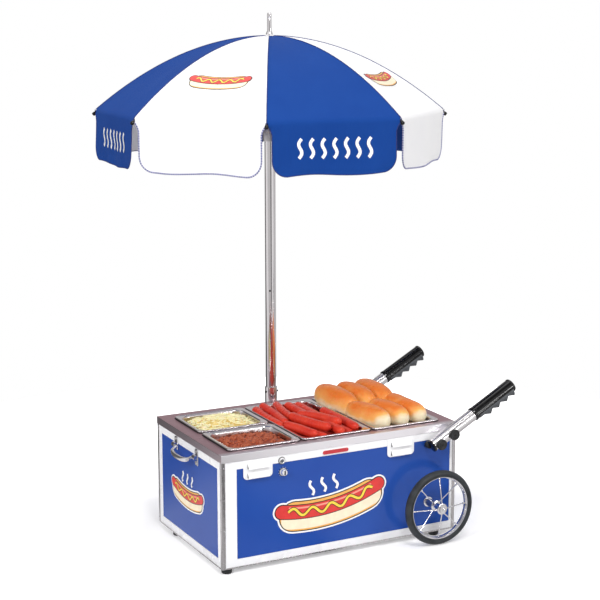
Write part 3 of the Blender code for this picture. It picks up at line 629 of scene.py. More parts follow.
def controls():
    """The indicator lamp, the temperature knob and the blank badge."""
    front = -BODY_D / 2
    lamp, knob = (KNOB_X - 3, front, LAMP_Z), (KNOB_X, front, KNOB_Z)
    ahead = (0, -1, 0)
    for name, at, radius in (("lamp_gasket", lamp, 8.6), ("knob_gasket", knob, 9.8)):
        ring = [(0, 0.1), (radius - 0.3, 0.1), (radius, 0.4), (radius - 0.4, 0.8), (0, 0.8)]
        make(name, lathe(ring, at, ahead, 40), ROOT, "foot_rubber")
    bezel = [(0, 1.0), (3.6, 1.0), (3.8, 3.2), (4.2, 3.6), (6.6, 3.2), (7.3, 2.4), (7.5, 0.2), (0, 0.2)]
    make("lamp_bezel", lathe(bezel, lamp, ahead, 40), ROOT, "knob_chrome")
    lens = [(0, 3.4), (1.6, 3.2), (2.9, 2.6), (3.5, 1.2), (0, 1.1)]
    make("lamp_lens", lathe(lens, lamp, ahead, 32), ROOT, "lens")
    flange = [(0, 0.1), (8.0, 0.1), (8.6, 0.4), (8.7, 1.0), (8.3, 1.6), (0, 1.8)]
    make("knob_dial", lathe(flange, knob, ahead, 40), ROOT, "knob_chrome")
    ticks = bmesh.new()
    for u, v in arc(KNOB_X, KNOB_Z, 10.6, 225, -45, 8):
        merged(ticks, rod((u, front + 0.9, v), (u, front - 0.3, v), 0.35, 8))
    make("knob_ticks", ticks, ROOT, "ink_white")
    cap = [(0, 10.6), (5.2, 10.6), (6.4, 9.8), (7.0, 8.4), (7.2, 3.2), (8.2, 2.6), (8.2, 2.0), (0, 2.0)]
    body = "temperature_knob"
    make("knob_cap", lathe(cap, knob, ahead, 40), body, "knob_chrome", 30, (body,))
    low, high = (KNOB_X - 1.5, front - 11.3, KNOB_Z - 4.6), (KNOB_X + 1.5, front - 10.4, KNOB_Z + 5.2)
    mark = block(low, high, 0.2, 1)
    make("knob_pointer", mark, body, "ink_black", 30)
    place = rounded(-54.0, 225.6, 14.0, 237.4, 5.8, 7)
    inner = rounded(-53.2, 226.4, 13.2, 236.6, 5.0, 7)
    field = rounded(-52.6, 227.0, 12.6, 236.0, 4.4, 7)
    for name, surface, layers in (
        ("badge_rim", "ink_white", ((place, 0.1), (place, 1.0), (inner, 1.6))),
        ("badge_field", "badge_red", ((field, 1.2), (field, 1.9))),
    ):
        make(name, loft([[on_front(u, v, t) for u, v in line] for line, t in layers]), ROOT, surface, 30)


def heater_path():
    left, right, front, rear, bend, height = -150.0, 170.0, -70.0, 80.0, 40.0, 101.0
    path = arc(right - bend, front + bend, bend, -90, 0, 12) + arc(right - bend, rear - bend, bend, 0, 90, 12)
    return [(x, y, height) for x, y in [(left, front), *path, (left, rear)]]


# Generic prints --------------------------------------------------------------


def capsule(half_length, half_height):
    """Outline of a bar with round ends."""
    reach = half_length - half_height
    return resampled(arc(reach, 0, half_height, -90, 90, 12) + arc(-reach, 0, half_height, 90, 270, 12))


def resampled(points):
    """The outline with its long sides divided, so that it can bend."""
    longest, found = 9.0, []
    for (x0, y0), (x1, y1) in zip(points, points[1:] + points[:1]):
        parts = max(1, math.ceil(math.hypot(x1 - x0, y1 - y0) / longest))
        found += [(x0 + (x1 - x0) * i / parts, y0 + (y1 - y0) * i / parts) for i in range(parts)]
    return found


def ribbon(centre_line, half_width):
    """Outline of a stroke along a centre line."""
    left, right = [], []
    for i, (x, y) in enumerate(centre_line):
        (xa, ya), (xb, yb) = centre_line[max(i - 1, 0)], centre_line[min(i + 1, len(centre_line) - 1)]
        share = half_width / math.hypot(xb - xa, yb - ya)
        nx, ny = (ya - yb) * share, (xb - xa) * share
        left.append((x + nx, y + ny))
        right.append((x - nx, y - ny))
    return left + right[::-1]


def steam_stroke(x, low, high, sway, half_width, slant=0.0):
    line = []
    for t in [i / 22 for i in range(23)]:
        line.append((x + slant * (t - 0.5) + sway * math.sin(2 * math.pi * t), low + (high - low) * t))
    return ribbon(line, half_width)


def hot_dog(half_length, half_height, bend):
    """(ink, outline) pairs of a plain hot-dog picture, lowest first, bent upwards at both ends."""
    sausage_l, sausage_h = half_length * 1.1, half_height * 0.46
    lift, edge = half_height * 0.30, max(2.0, half_height * 0.07)
    zigzag = []
    for t in [i / 60 for i in range(61)]:
        zigzag.append(((t - 0.5) * half_length * 1.72, math.sin(t * math.pi * 9) * sausage_h * 0.52))

    def sausage_outline(wider):
        return capsule(sausage_l + wider, sausage_h + wider)

    def bun_outline(wider):
        return capsule(half_length + wider, half_height + wider)

    def bent(x, y):
        slope = 2 * bend * x / half_length**2
        length = math.hypot(1, slope)
        return x - y * slope / length, bend * (x / half_length) ** 2 + y / length

    shapes = (
        ("ink_white", sausage_outline(edge * 2.6), lift),
        ("ink_white", bun_outline(edge * 2.6), 0.0),
        ("ink_black", sausage_outline(edge), lift),
        ("ink_black", bun_outline(edge), 0.0),
        ("ink_tan", bun_outline(0.0), 0.0),
        ("ink_cream", capsule(half_length * 0.97, half_height * 0.62), -half_height * 0.28),
        ("ink_black", sausage_outline(edge * 0.8), lift),
        ("ink_red", sausage_outline(0.0), lift),
        ("ink_pink", capsule(half_length * 0.86, sausage_h * 0.13), lift + sausage_h * 0.62),
        ("ink_black", ribbon(zigzag, sausage_h * 0.30), lift),
        ("ink_yellow", ribbon(zigzag, sausage_h * 0.19), lift),
    )
    return [(ink, [bent(x, y + up) for x, y in outline]) for ink, outline, up in shapes]


def print_flat(name, shapes, centre, tilt, place):
    """Thin layers of ink on a flat panel of the body."""
    c, s = math.cos(tilt), math.sin(tilt)
    layers = {}
    for level, (ink, outline) in enumerate(shapes):
        turned = [(centre[0] + x * c - y * s, centre[1] + x * s + y * c) for x, y in outline]
        bm = bmesh.new()
        top = [bm.verts.new(place(u, v, 0.12 + 0.11 * level)) for u, v in turned]
        foot = [bm.verts.new(place(u, v, -0.7)) for u, v in turned]
        skin(bm, [top, foot])
        bmesh.ops.triangulate(bm, faces=[bm.faces.new(top)], ngon_method="EAR_CLIP")
        layers.setdefault(ink, []).append(bm)
    for ink, meshes in layers.items():
        make(f"{name}_{ink}", merged(*meshes), ROOT, ink, 30)


def build_prints():
    tilt = math.radians(7.0)
    print_flat("front_mark", hot_dog(128.0, 33.0, 20.0), (-28.0, 96.0), tilt, on_front)
    steam = [("ink_white", steam_stroke(x, 0.0, 34.0, 4.2, 3.0)) for x in (-44.0, -14.0, 16.0)]
    print_flat("front_steam", steam, (-33.0, 143.0), tilt, on_front)
    mirrored = [(ink, [(-x, y) for x, y in outline]) for ink, outline in hot_dog(82.0, 21.0, 14.0)]
    print_flat("left_mark", mirrored, (8.0, 108.0), 0.0, on_left)
    steam = [("ink_white", steam_stroke(x, 0.0, 24.0, 3.0, 2.2)) for x in (-26.0, 0.0, 26.0)]
    print_flat("left_steam", steam, (8.0, 141.0), 0.0, on_left)


# Pans and food ---------------------------------------------------------------


def pan(node, place, floor):
    """A pressed pan with a rolled rim, rounded corners and a floor."""
    x0, y0, width, length = place
    depth = RIM_TOP - floor
    taper = 9.0 * depth / 104.0
    fillet = 4.0 if depth < 30.0 else 14.0

    def loop(inset, z, radius):
        line = rounded(x0 + inset, y0 + inset, x0 + width - inset, y0 + length - inset, radius)
        return [(x, y, z) for x, y in line]

    loops = [loop(RIM_W + taper + fillet + 2.0, floor + 1.0, 18.0)]
    for u, v in arc(0, 0, fillet, 0, 90, 4):
        loops.append(loop(RIM_W + taper + fillet - v, floor + 1.0 + fillet - u, 22.0))
    for inset, up, radius in (
        (RIM_W + 1.6, -4.6, 23.0),
        (RIM_W + 0.9, -2.0, 23.5),
        (RIM_W - 0.6, -0.9, 22.0),
        (RIM_W - 2.4, -0.5, 19.5),
        (3.4, -0.5, 13.0),
        (2.6, 0.1, 12.0),
        (1.4, 0.3, 11.0),
        (0.4, -0.4, 10.2),
        (0.0, -1.8, 10.0),
        (0.5, -3.4, 10.2),
        (1.6, -4.0, 11.0),
        (3.0, -3.6, 12.5),
        (RIM_W - 1.4, -3.8, 21.0),
        (RIM_W + 0.3, -5.0, 23.0),
    ):
        loops.append(loop(inset, RIM_TOP + up, radius))
    outside = fillet + 1.0
    for u, v in arc(0, 0, outside, 0, 90, 4):
        loops.append(loop(RIM_W - 1.0 + taper + outside - u, floor + outside - v, 22.0))
    make(node + "_shell", loft(loops), node, "pan_steel", 50, (node,))
    # A dark ring round the rim just above the deck is painted shade: the shadow in the gap between the rim
    # and the deck.
    bm, gap = bmesh.new(), ((6.0, 0.2, 15.0), (6.0, 0.45, 15.0), (-1.0, 0.4, 10.5), (-1.2, 0.2, 10.7))
    rings = [loop(inset, DECK_TOP + up, radius) for inset, up, radius in gap]
    skin(bm, [[bm.verts.new(point) for point in ring] for ring in rings], close=True)
    make(node + "_gap_shade", bm, ROOT, "painted_shade", 30)


def heap(place, side_inset, edge_z, crown, bumps, seed):
    """A lump of food that fills a pan: its top swells to a crown and is roughened by noise."""
    x0, y0, width, length = place
    cx, cy, rings = x0 + width / 2, y0 + length / 2, 14
    half_x, half_y = width / 2 - side_inset, length / 2 - side_inset
    outline = rounded(-half_x, -half_y, half_x, half_y, 20.0, 15)
    loops = []
    for inset, up in ((10.0, 2.5), (7.0, 13.0)):
        share = 1 - inset / half_x
        loops.append([(cx + u * share, cy + v * share, PAN_FLOOR + up) for u, v in outline])
    for ring in range(rings):
        share = math.cos(math.pi / 2 * ring / rings)
        swell = 1 - share**2.2
        loops.append([])
        for u, v in outline:
            x, y = cx + u * share, cy + v * share
            rough = noise.fractal(Vector((x * 0.05, y * 0.05, seed)), 0.8, 2.1, 4) * bumps
            rough += noise.noise(Vector((x * 0.012, y * 0.012, seed + 5))) * bumps * 1.6
            loops[-1].append((x, y, edge_z + crown * swell + rough * min(1.0, 0.25 + swell)))
    return loft(loops + [[(cx, cy, loops[-1][0][2])]])


def scattered(rng, count, place, side_inset, edge_z, crown, reach):
    """Random points on the even surface of a heap, as far out as a share of its half width."""
    x0, y0, width, length = place
    while count:
        x = rng.uniform(x0 + 18, x0 + width - 18)
        y = rng.uniform(y0 + 18, y0 + length - 18)
        u = abs(x - x0 - width / 2) / (width / 2 - side_inset)
        v = abs(y - y0 - length / 2) / (length / 2 - side_inset)
        share = (u**4 + v**4) ** 0.25
        if share <= reach:
            count -= 1
            yield x, y, edge_z + crown * (1 - min(share, 1.0) ** 2.2)


def build_cheese():
    rng = random.Random(3)
    body, shape = "pan_rear_left", (SMALL_REAR, 17.0, 248.0, 18.0)
    make("cheese_heap", heap(*shape, 2.6, 1.0), body, "cheese_deep", 60, ("cheese",))
    shreds = bmesh.new()
    for x, y, z in scattered(rng, 520, *shape, 0.96):
        turn, half = rng.uniform(0, math.pi), rng.uniform(5.0, 10.5)
        curl, rise = rng.uniform(-3.4, 3.4), rng.uniform(-0.2, 4.6)
        c, s = math.cos(turn), math.sin(turn)
        points = []
        for t in (-1.0, -0.5, 0.0, 0.5, 1.0):
            u, v = half * t, curl * (1 - t * t)
            up = rise + rng.uniform(-0.6, 1.4) - 0.9 * t * t
            points.append((x + u * c - v * s, y + u * s + v * c, z + up))
        merged(shreds, tube(points, rng.uniform(1.1, 1.7), 5, flat=0.7))
    make("cheese_shreds", shreds, body, "cheese", 40)


def build_chili():
    rng = random.Random(7)
    body, shape = "pan_front_left", (SMALL_FRONT, 15.0, 249.0, 7.0)
    make("chili_sauce_pool", heap(*shape, 2.2, 4.0), body, "chili_sauce", 60, ("chili",))
    chunks = bmesh.new()
    for number, (x, y, z) in enumerate(scattered(rng, 420, *shape, 0.95)):
        size = rng.uniform(1.8, 4.2)
        piece = bmesh.new()
        bmesh.ops.create_icosphere(piece, subdivisions=2, radius=1.0)
        spin = Matrix.Rotation(rng.uniform(0, 6.28), 4, (rng.uniform(-1, 1), rng.uniform(-1, 1), 1.0))
        stretch = Matrix.Diagonal((size * rng.uniform(0.9, 1.5), size, size * rng.uniform(0.55, 0.9), 1.0))
        for vert in piece.verts:
            vert.co *= 1 + 0.22 * noise.noise(vert.co * 1.7 + Vector((number * 1.3, 0, 0)))
        piece.transform(Matrix.Translation((x, y, z + rng.uniform(-0.4, 1.6))) @ spin @ stretch)
        merged(chunks, piece)
    make("chili_chunks", chunks, body, "chili_meat", 60)


def sausage(start, end, radius, bow, turn=0.0):
    """A frank between two points: a bowed tube with round, puckered ends."""
    start, up = Vector(start), Vector(UP)
    along = Vector(end) - start
    length = along.length
    bend = (along.cross(up).normalized() * math.cos(turn) + up * math.sin(turn)) * bow
    points, radii, steps = [], [], 26
    for i in range(steps + 1):
        t = 0.5 - 0.5 * math.cos(math.pi * i / steps)
        from_end = min(t, 1 - t) * length
        cap = math.sqrt(max(0.0, 1 - max(0.0, 1 - from_end / (radius * 1.05)) ** 2))
        points.append(start + along * t + bend * (1 - (2 * t - 1) ** 2))
        swell = 1 + 0.025 * math.sin(t * 9.0 + length)
        radii.append(max(radius * cap * swell, radius * 0.16))
    bm = tube(points, radii, 20)
    for tip, inner in ((points[0], points[1]), (points[-1], points[-2])):
        knot = (tip - inner).normalized()
        pucker = [(0, 1.6), (1.3, 1.3), (1.7, 0.4), (1.3, -0.6), (0, -0.8)]
        merged(bm, lathe(pucker, tip + knot * 0.4, knot, 10))
    return bm


FRANKS = (
    ((-70, 128, 258), (-77, -30, 256), 3.0),
    ((-44, 146, 260), (-58, -14, 257), -4.0),
    ((-6, 146, 259), (-27, -16, 259), 4.0),
    ((16, 132, 257), (9, -20, 258), -3.0),
    ((40, 128, 256), (34, -24, 257), -4.0),
    ((60, 34, 263), (60, -136, 263), -2.0),
    ((-34, 12, 267), (-3, -126, 269), 4.0),
    ((-71, -34, 262), (-46, -142, 262), -3.0),
    ((33, -8, 264), (16, -150, 262), 5.0),
    ((-8, 26, 263), (30, -112, 273), -6.0),
    ((-50, -60, 258), (-22, -150, 252), 3.0),
    ((41, 16, 252), (44, -138, 251), 2.0),
)


def build_franks():
    body = "pan_middle"
    for number, (start, end, bow) in enumerate(FRANKS):
        bm = sausage(start, end, 10.6 + 0.5 * math.sin(number * 2.3), bow, 0.3 * math.sin(number * 1.9))
        make(f"frank_{number + 1:02d}", bm, body, "frank_skin", 60, () if number else ("franks",))
    lower = bmesh.new()
    for layer, z in enumerate((238.0, 217.0, 196.0, 177.0)):
        for column in range(6):
            x = -63.0 + column * 25.2
            for y in (-70.0, 72.0):
                if layer or column < 4 or y < 0:
                    merged(lower, sausage((x, y + 68, z), (x + 3, y - 68, z), 10.8, 2.0))
    make("franks_lower", lower, body, "frank_skin", 60)


BUNS = (
    ((117, 66, 249.2), 92.0, 1.08, 1.10),
    ((173, 70, 249.2), 92.0, 1.01, 1.16),
    ((224, 72, 249.2), 88.0, 1.05, 1.12),
    ((127, -70, 249.2), 100.0, 0.92, 1.04),
    ((183, -68, 249.2), 96.0, 0.90, 1.04),
    ((232, -65, 249.2), 96.0, 0.90, 1.04),
    ((231, -36, 257.0), 90.0, 0.84, 0.92),
)


def bun(place, heading, scale, rise):
    """A soft roll: flat below, domed above, with a crust value that is 1 on top and 0 at the pale foot,
    lowered at the front end of a front-row roll to paint a highlight there.
    """
    half_l, half_w, height = 78.0 * scale, 29.0 * scale, 47.0 * scale * rise
    bm = bmesh.new()
    crust_and_highlight = bm.verts.layers.float.new("crust_and_highlight")
    rings, around, steps = [], 28, 30
    for i in range(steps + 1):
        t = -math.cos(math.pi * i / steps)
        at_tip = i in (0, steps)
        reach = 0.0 if at_tip else (1 - abs(t) ** 2.6) ** (1 / 2.3)
        # Painted highlight: the front end of a front-row bun is made paler.
        front_end_highlight = max(0.0, -t - 0.62) * 1.2 if place[1] < -50 else 0.0
        rings.append([])
        for angle in turns(1 if at_tip else around):
            c, s = math.cos(angle), math.sin(angle)
            across = math.copysign(abs(c) ** 0.85, c) * half_w * reach
            up = s * height * (0.62 if s > 0 else 0.38)
            up = math.copysign(abs(up) ** 0.92, up) * height**0.08 * reach ** (0.75 if s > 0 else 0.5)
            vert = bm.verts.new((t * half_l, across, up + height * 0.38))
            vert.co.z += 1.4 * noise.noise(Vector((t * 2.0, across * 0.05, place[0]))) * reach
            vert[crust_and_highlight] = max(0.0, min(1.0, vert.co.z / height * 1.2 - 0.08 - front_end_highlight))
            rings[-1].append(vert)
    skin(bm, rings)
    bm.transform(Matrix.Translation(place) @ Matrix.Rotation(math.radians(heading), 4, "Z"))
    return bm


def build_buns():
    for number, roll in enumerate(BUNS):
        stands = () if number else ("buns",)
        make(f"bun_{number + 1}", bun(*roll), "bun_tray", "bun_crust", 80, stands)


def build_food():
    pan("pan_front_left", SMALL_FRONT, PAN_FLOOR)
    pan("pan_rear_left", SMALL_REAR, PAN_FLOOR)
    pan("pan_middle", MIDDLE, PAN_FLOOR)
    pan("bun_tray", TRAY, TRAY_FLOOR)
    build_cheese()
    build_chili()
    build_franks()
    build_buns()


# Wheels ----------------------------------------------------------------------


def both_faces(half):
    """A section from its half above the middle."""
    return half + [(radius, -height) for radius, height in reversed(half) if height]


def on_axle(y):
    return Vector((AXLE_X, y, AXLE_Z))


def build_wheel(place, side):
    body, y, out = f"{place}_wheel", side * WHEEL_Y, (0, side, 0)
    centre, inner = on_axle(y), RIM_R + 0.4
    half = [(inner, 6.4), (inner + 1.6, 8.4), (inner + 4.4, 9.8)]
    for step in range(5):
        angle = math.radians(78 - 156 * step / 8)
        half.append((80.6 + 6.9 * math.cos(angle) ** 0.9, TYRE_HALF * math.sin(angle)))
    tyre = lathe(both_faces(half), centre, out, 120, close=True)
    make(f"{place}_tyre_tread", tyre, body, "tyre_rubber", 50, (f"{place}_tyre",))
    ribs = bmesh.new()
    for radius, height, width in ((76.9, 9.35, 0.45), (79.4, 9.95, 0.35)):
        for face in (1, -1):
            ring = arc(radius, face * height, width, 0, 300, 5)
            merged(ribs, lathe(ring, centre, out, 96, close=True))
    make(f"{place}_tyre_ribs", ribs, body, "tyre_rubber", 60)
    half = [(RIM_R, RIM_HALF - 0.6), (RIM_R - 0.9, RIM_HALF + 0.3), (RIM_R - 2.0, RIM_HALF)]
    half += [(RIM_R - 2.6, RIM_HALF - 1.6), (RIM_IN + 0.4, RIM_HALF - 3.6), (RIM_IN, RIM_HALF - 5.4)]
    rim = lathe(both_faces(half), centre, out, 120, close=True)
    make(f"{place}_rim", rim, body, "chrome", 40, (f"{place}_wheel",))
    build_hub(place, side, body)
    build_axle_end(place, side)


def build_hub(place, side, body):
    """The hub barrel and eight spokes, from its front and back flanges in turn."""
    centre, out, bore = on_axle(side * WHEEL_Y), Vector((0, side, 0)), AXLE_R + 0.3
    front, back = HUB_FRONT, -HUB_BACK
    barrel = [(bore, back), (HUB_R - 1.2, back), (HUB_R, back + 0.8), (HUB_R, back + 2.6)]
    barrel += [(HUB_R - 1.5, back + 3.6), (8.4, back + 4.6), (7.8, -6.0), (7.8, 6.0)]
    barrel += [(8.4, front - 9.0), (HUB_R - 1.5, front - 7.6), (HUB_R, front - 6.6), (HUB_R, front - 4.6)]
    barrel += [(HUB_R - 1.2, front - 3.8), (9.0, front - 3.6), (8.4, front - 1.8), (bore, front - 1.8)]
    make(f"{place}_hub", lathe(barrel, centre, out, 48, close=True), body, "chrome", 35)
    spokes = bmesh.new()
    for number, angle in enumerate(turns(8)):
        across = Vector((math.cos(angle), 0, math.sin(angle)))
        foot = centre + out * (back + 1.8 if number % 2 else front - 5.8) + across * (HUB_R - 2.5)
        tip = centre + across * (RIM_IN + 0.6)
        merged(spokes, tube([foot, tip], 1.35, 10))
        merged(spokes, tube([tip + (foot - tip).normalized() * 7.0, tip], 2.2, 10))
        merged(spokes, lathe([(0, 1.4), (1.6, 1.1), (2.3, 0), (0, 0)], foot + across * 0.2, out, 12))
    make(f"{place}_spokes", spokes, body, "chrome", 40)


def build_axle_end(place, side):
    """The washer, nut, spacer and flange on one end of the axle."""
    out, bore, wall = (0, side, 0), AXLE_R + 0.3, side * BODY_D / 2
    face = on_axle(side * (WHEEL_Y + HUB_FRONT - 1.6))
    washer = [(bore, 0.0), (9.6, 0.0), (9.9, 0.4), (9.6, 1.0), (bore, 1.0)]
    make(f"{place}_axle_washer", lathe(washer, face, out, 36, close=True), ROOT, "plain_steel", 30)
    cap = [(0, 7.2), (2.4, 6.9), (4.4, 5.8), (5.6, 4.0), (6.0, 2.4), (8.0, 2.2), (8.2, 1.4), (0, 1.4)]
    make(f"{place}_axle_nut", lathe(cap, face, out, 36), ROOT, "chrome", 35)
    spacer = rod(on_axle(wall + side * 0.6), on_axle(side * (WHEEL_Y - HUB_BACK - 0.6)), 9.0, 32, 0.6)
    make(f"{place}_axle_spacer", spacer, ROOT, "plain_steel")
    flange = [(bore, 0.2), (11.6, 0.2), (12.2, 0.8), (11.6, 2.0), (9.4, 2.4), (bore, 2.4)]
    make(f"{place}_axle_flange", lathe(flange, on_axle(wall), out, 40, close=True), ROOT, "chrome", 30)


# Handles ---------------------------------------------------------------------

HANDLE_C, HANDLE_S = math.cos(HANDLE_ANGLE), math.sin(HANDLE_ANGLE)
HANDLE_DIR = Vector((HANDLE_C, 0.0, HANDLE_S))
HANDLE_DOWN = Vector((HANDLE_S, 0.0, -HANDLE_C))


def along_handle(distance, y, below=0.0):
    place = Vector((HANDLE_X + distance * HANDLE_C, y, HANDLE_Z + distance * HANDLE_S))
    return place + HANDLE_DOWN * below


def build_push_handle(place, side):
    y, wall = side * HANDLE_Y, side * (BODY_D / 2 + 1.8)
    start, end = along_handle(0, y), HANDLE_LENGTH
    pipe = [(12.8, 0.0), (13.9, 0.0), (HANDLE_R, 0.4), (HANDLE_R, end - 0.4), (12.8, end)]
    bar = lathe(pipe, start, HANDLE_DIR, 48, close=True)
    make(f"{place}_handle_tube", bar, ROOT, "pole_chrome", 30, (f"{place}_handle",))
    plug = [(0, -4.6), (12.6, -4.6), (14.3, -3.9), (14.8, -2.6)]
    plug += [(14.8, -0.4), (12.6, -0.2), (12.6, 9.0), (0, 9.0)]
    make(f"{place}_handle_plug", lathe(plug, start, HANDLE_DIR, 40), ROOT, "grip_plastic", 35)
    buffer = [(0, 0), (8.4, 0), (8.8, 0.8), (7.6, 10.4), (6.4, 11.6), (0, 11.6)]
    stop = lathe(buffer, along_handle(-3.0, wall), (0, side, 0), 32)
    make(f"{place}_handle_buffer", stop, ROOT, "foot_rubber", 35)
    for number, distance in enumerate(KNOBS_AT):
        foot, face = (along_handle(distance, at, KNOB_BELOW) for at in (wall, y - side * 12.6))
        make(f"{place}_handle_spacer_{number + 1}", rod(foot, face, 7.5, 32, 0.5), ROOT, "chrome")
        face = along_handle(distance, y + side * (HANDLE_R + 0.4), KNOB_BELOW)
        build_clamp_knob(f"{place}_knob_{number + 1}", side, face)
    build_grip(place, side)


def build_clamp_knob(body, side, face):
    """A round clamp knob with a ribbed edge and a recessed face."""
    quat = Vector((0, side, 0)).to_track_quat("Z", "Y")
    loops, rib_depth = [], 0.45
    for radius, height, ribbed in (
        (0, 5.2, 0),
        (8.6, 5.2, 0),
        (9.6, 5.9, 0),
        (10.8, 6.5, 0),
        (12.1, 6.1, 0.3),
        (12.6, 5.0, 1),
        (12.6, 1.4, 1),
        (12.0, 0.4, 0.3),
        (0, 0.2, 0),
    ):
        loops.append([])
        for step, angle in enumerate(turns(72 if radius else 1)):
            reach = radius - (ribbed * rib_depth if step % 2 else 0.0)
            loops[-1].append(face + quat @ Vector((reach * math.cos(angle), reach * math.sin(angle), height)))
    make(f"{body}_head", loft(loops), body, "foot_rubber", 30, (body,))
    out = Vector((0, side, 0))
    button = lathe([(0, 0.9), (2.2, 0.8), (3.0, 0.2), (0, 0.0)], face + out * 5.0, out, 24)
    make(f"{body}_centre", button, body, "grip_plastic")
    screw = rod(face + out, (face.x, side * (BODY_D / 2 + 3.0), face.z), 3.0, 20, 0.4)
    make(f"{body}_screw", screw, body, "plain_steel")


def finger_loops(at):
    """Loops of the finger part; at gives a point of the grip from its distance, angle and radius."""
    steps, arc_steps, deep = 116, 20, 8.6
    first, last, wide = GRIP_FROM + 10.0, GRIP_TO - 7.0, math.radians(80)
    loops = []
    for i in range(steps + 1):
        distance = first + (last - first) * i / steps
        tooth = 0.0
        for peak in (162.0, 187.0, 212.0, 237.0):
            before, after = (distance - peak + 15.0) / 15.0, (peak + 9.0 - distance) / 9.0
            tooth = max(tooth, min(before, after, 1.0))
        tooth = deep * tooth**1.1 if distance < 238.5 else deep
        end = min(1.0, min(distance - first, last - distance) / 1.6)
        angles = [wide - 2 * wide * step / arc_steps for step in range(arc_steps + 1)]
        loops.append([at(distance, angle, GRIP_R - 1.6) for angle in angles])
        for angle in reversed(angles):
            rim = min(1.0, (wide - abs(angle)) / 0.09)
            lump = tooth * max(0.0, math.cos(angle * 1.15)) ** 1.2
            loops[-1].append(at(distance, angle, GRIP_R - 1.5 + (0.4 + 1.5 * rim + lump) * (0.3 + 0.7 * end)))
    return loops


def build_grip(place, side):
    """A glossy sleeve with a bead along each side, and a softer finger part with four teeth underneath."""
    y, across = side * HANDLE_Y, Vector((0, side, 0))
    length, end_margin = GRIP_TO - GRIP_FROM, 5.0

    def at(distance, angle, radius):
        return along_handle(distance, y) + (HANDLE_DOWN * math.cos(angle) + across * math.sin(angle)) * radius

    def bead(along, angle):
        from_side = abs(abs(angle - math.pi) - math.pi / 2)
        return 0.8 * math.exp(-((from_side / 0.12) ** 2)) if end_margin < along < length - end_margin else 0.0

    full = GRIP_R
    outline = [(6.0, 14.5), (0.0, 14.5), (0.0, full - 0.9), (0.5, full - 0.2), (1.4, full), (5.0, full)]
    outline += [(5.8, full - 0.7), (length - 6.0, full - 0.7), (length - 5.2, full), (length - 3.2, full)]
    outline += [(length - 1.2, full - 0.9), (length, full - 2.6), (length + 0.6, full - 6.0)]
    loops = []
    for number, (along, radius) in enumerate(outline):
        lifts = [bead(along, angle) if number else 0.0 for angle in turns(120)]
        loops.append([at(GRIP_FROM + along, angle, radius + up) for angle, up in zip(turns(120), lifts)])
    loops.append([at(GRIP_TO + 0.8, 0.0, 0.0)])
    make(f"{place}_grip_sleeve", loft(loops), ROOT, "grip_plastic", 40, (f"{place}_grip",))
    make(f"{place}_grip_fingers", loft(finger_loops(at)), ROOT, "grip_soft", 40)


def build_carry_handle():
    wall = -BODY_L / 2 - 0.3
    outer = arc(CARRY_PIVOT_X, CARRY_Z, 6.0, 292, 68, 14)
    knuckle_section = outer + arc(CARRY_PIVOT_X, CARRY_Z, 3.1, 68, 292, 14)
    for name, side, low in (("carry_bracket_front", -1, 202.0), ("carry_bracket_rear", 1, 209.0)):
        y = CARRY_Y + side * CARRY_HALF
        outline = rounded(y - 8.2, low, y + 8.2, CARRY_Z + 19.0, 4.0, 5)
        inner = rounded(y - 7.2, low + 1.0, y + 7.2, CARRY_Z + 18.0, 3.4, 5)
        layers = ((outline, 0.0), (outline, 2.0), (inner, 3.0))
        plate = loft([[(wall - t, u, v) for u, v in line] for line, t in layers])
        make(name + "_plate", plate, ROOT, "chrome", 30, (name,))
        knuckle = bmesh.new()
        for ends in ((y - 7.4, y - 1.0), (y + 1.0, y + 7.4)):
            loops = [[(min(x, wall - 1.2), at, z) for x, z in knuckle_section] for at in ends]
            merged(knuckle, loft(loops))
        make(name + "_knuckle", knuckle, ROOT, "chrome", 30)
        screws = bmesh.new()
        for z in (low + 5.0, CARRY_Z + 13.5):
            merged(screws, screw_head((wall - 3.0, y, z), (-1, 0, 0), 2.7))
        make(name + "_screws", screws, ROOT, "plain_steel")
    half, steps = CARRY_HALF, 24
    path = [(-half - 5.0, 0.0, 2.5), (-half + 6.0, 0.0, 2.5), (-half + 9.4, 0.8, 2.6)]
    for i in range(steps + 1):
        angle = math.pi * i / steps
        reach = 3.0 + 18.0 * math.sin(angle) ** 0.55
        path.append((-(half - 13.5) * math.cos(angle), reach, 2.8 + 4.0 * math.sin(angle) ** 0.7))
    path += [(half - 9.4, 0.8, 2.6), (half - 6.0, 0.0, 2.5), (half + 5.0, 0.0, 2.5)]
    c, s = math.cos(CARRY_DROOP), math.sin(CARRY_DROOP)
    points = [(CARRY_PIVOT_X - reach * c, CARRY_Y + along, CARRY_Z - reach * s) for along, reach, _ in path]
    bar = tube(points, [radius for _, _, radius in path], 18, flat=0.82, up=(s, 0.0, -c))
    make("carry_bail_bar", bar, "carry_bail", "chrome", 50, ("carry_bail",))


# Umbrella --------------------------------------------------------------------


def rib_angle(number):
    return RIB_TURN + 2 * math.pi * number / RIBS


def rib_z(radius):
    return CROWN_Z - RIB_SAG * (radius**2 - CROWN_R**2)


def half_name(name, side):
    return f"{name}_{'a' if side < 0 else 'b'}"


def umbrella_point(radius, angle, z, sideways=0.0):
    c, s = math.cos(angle), math.sin(angle)
    return Vector((POLE_X + radius * c - sideways * s, POLE_Y + radius * s + sideways * c, z))


def on_rib(radius, angle, up=0.0):
    return umbrella_point(radius, angle, rib_z(radius) + up)


def round_pole(angle):
    """The direction that a rib's hinge pin lies in."""
    return Vector((-math.sin(angle), math.cos(angle), 0.0))


HEM_HALF, HEM_OUT = HEM_R * math.sin(HALF_TURN), HEM_R * math.cos(HALF_TURN)
HEM_Z = rib_z(HEM_R) + CLOTH_LIFT
RUNNER_Z = rib_z(JOINT_R) - JOINT_DROP - math.sqrt(STRETCHER_LEN**2 - (JOINT_R - RUNNER_REACH) ** 2)


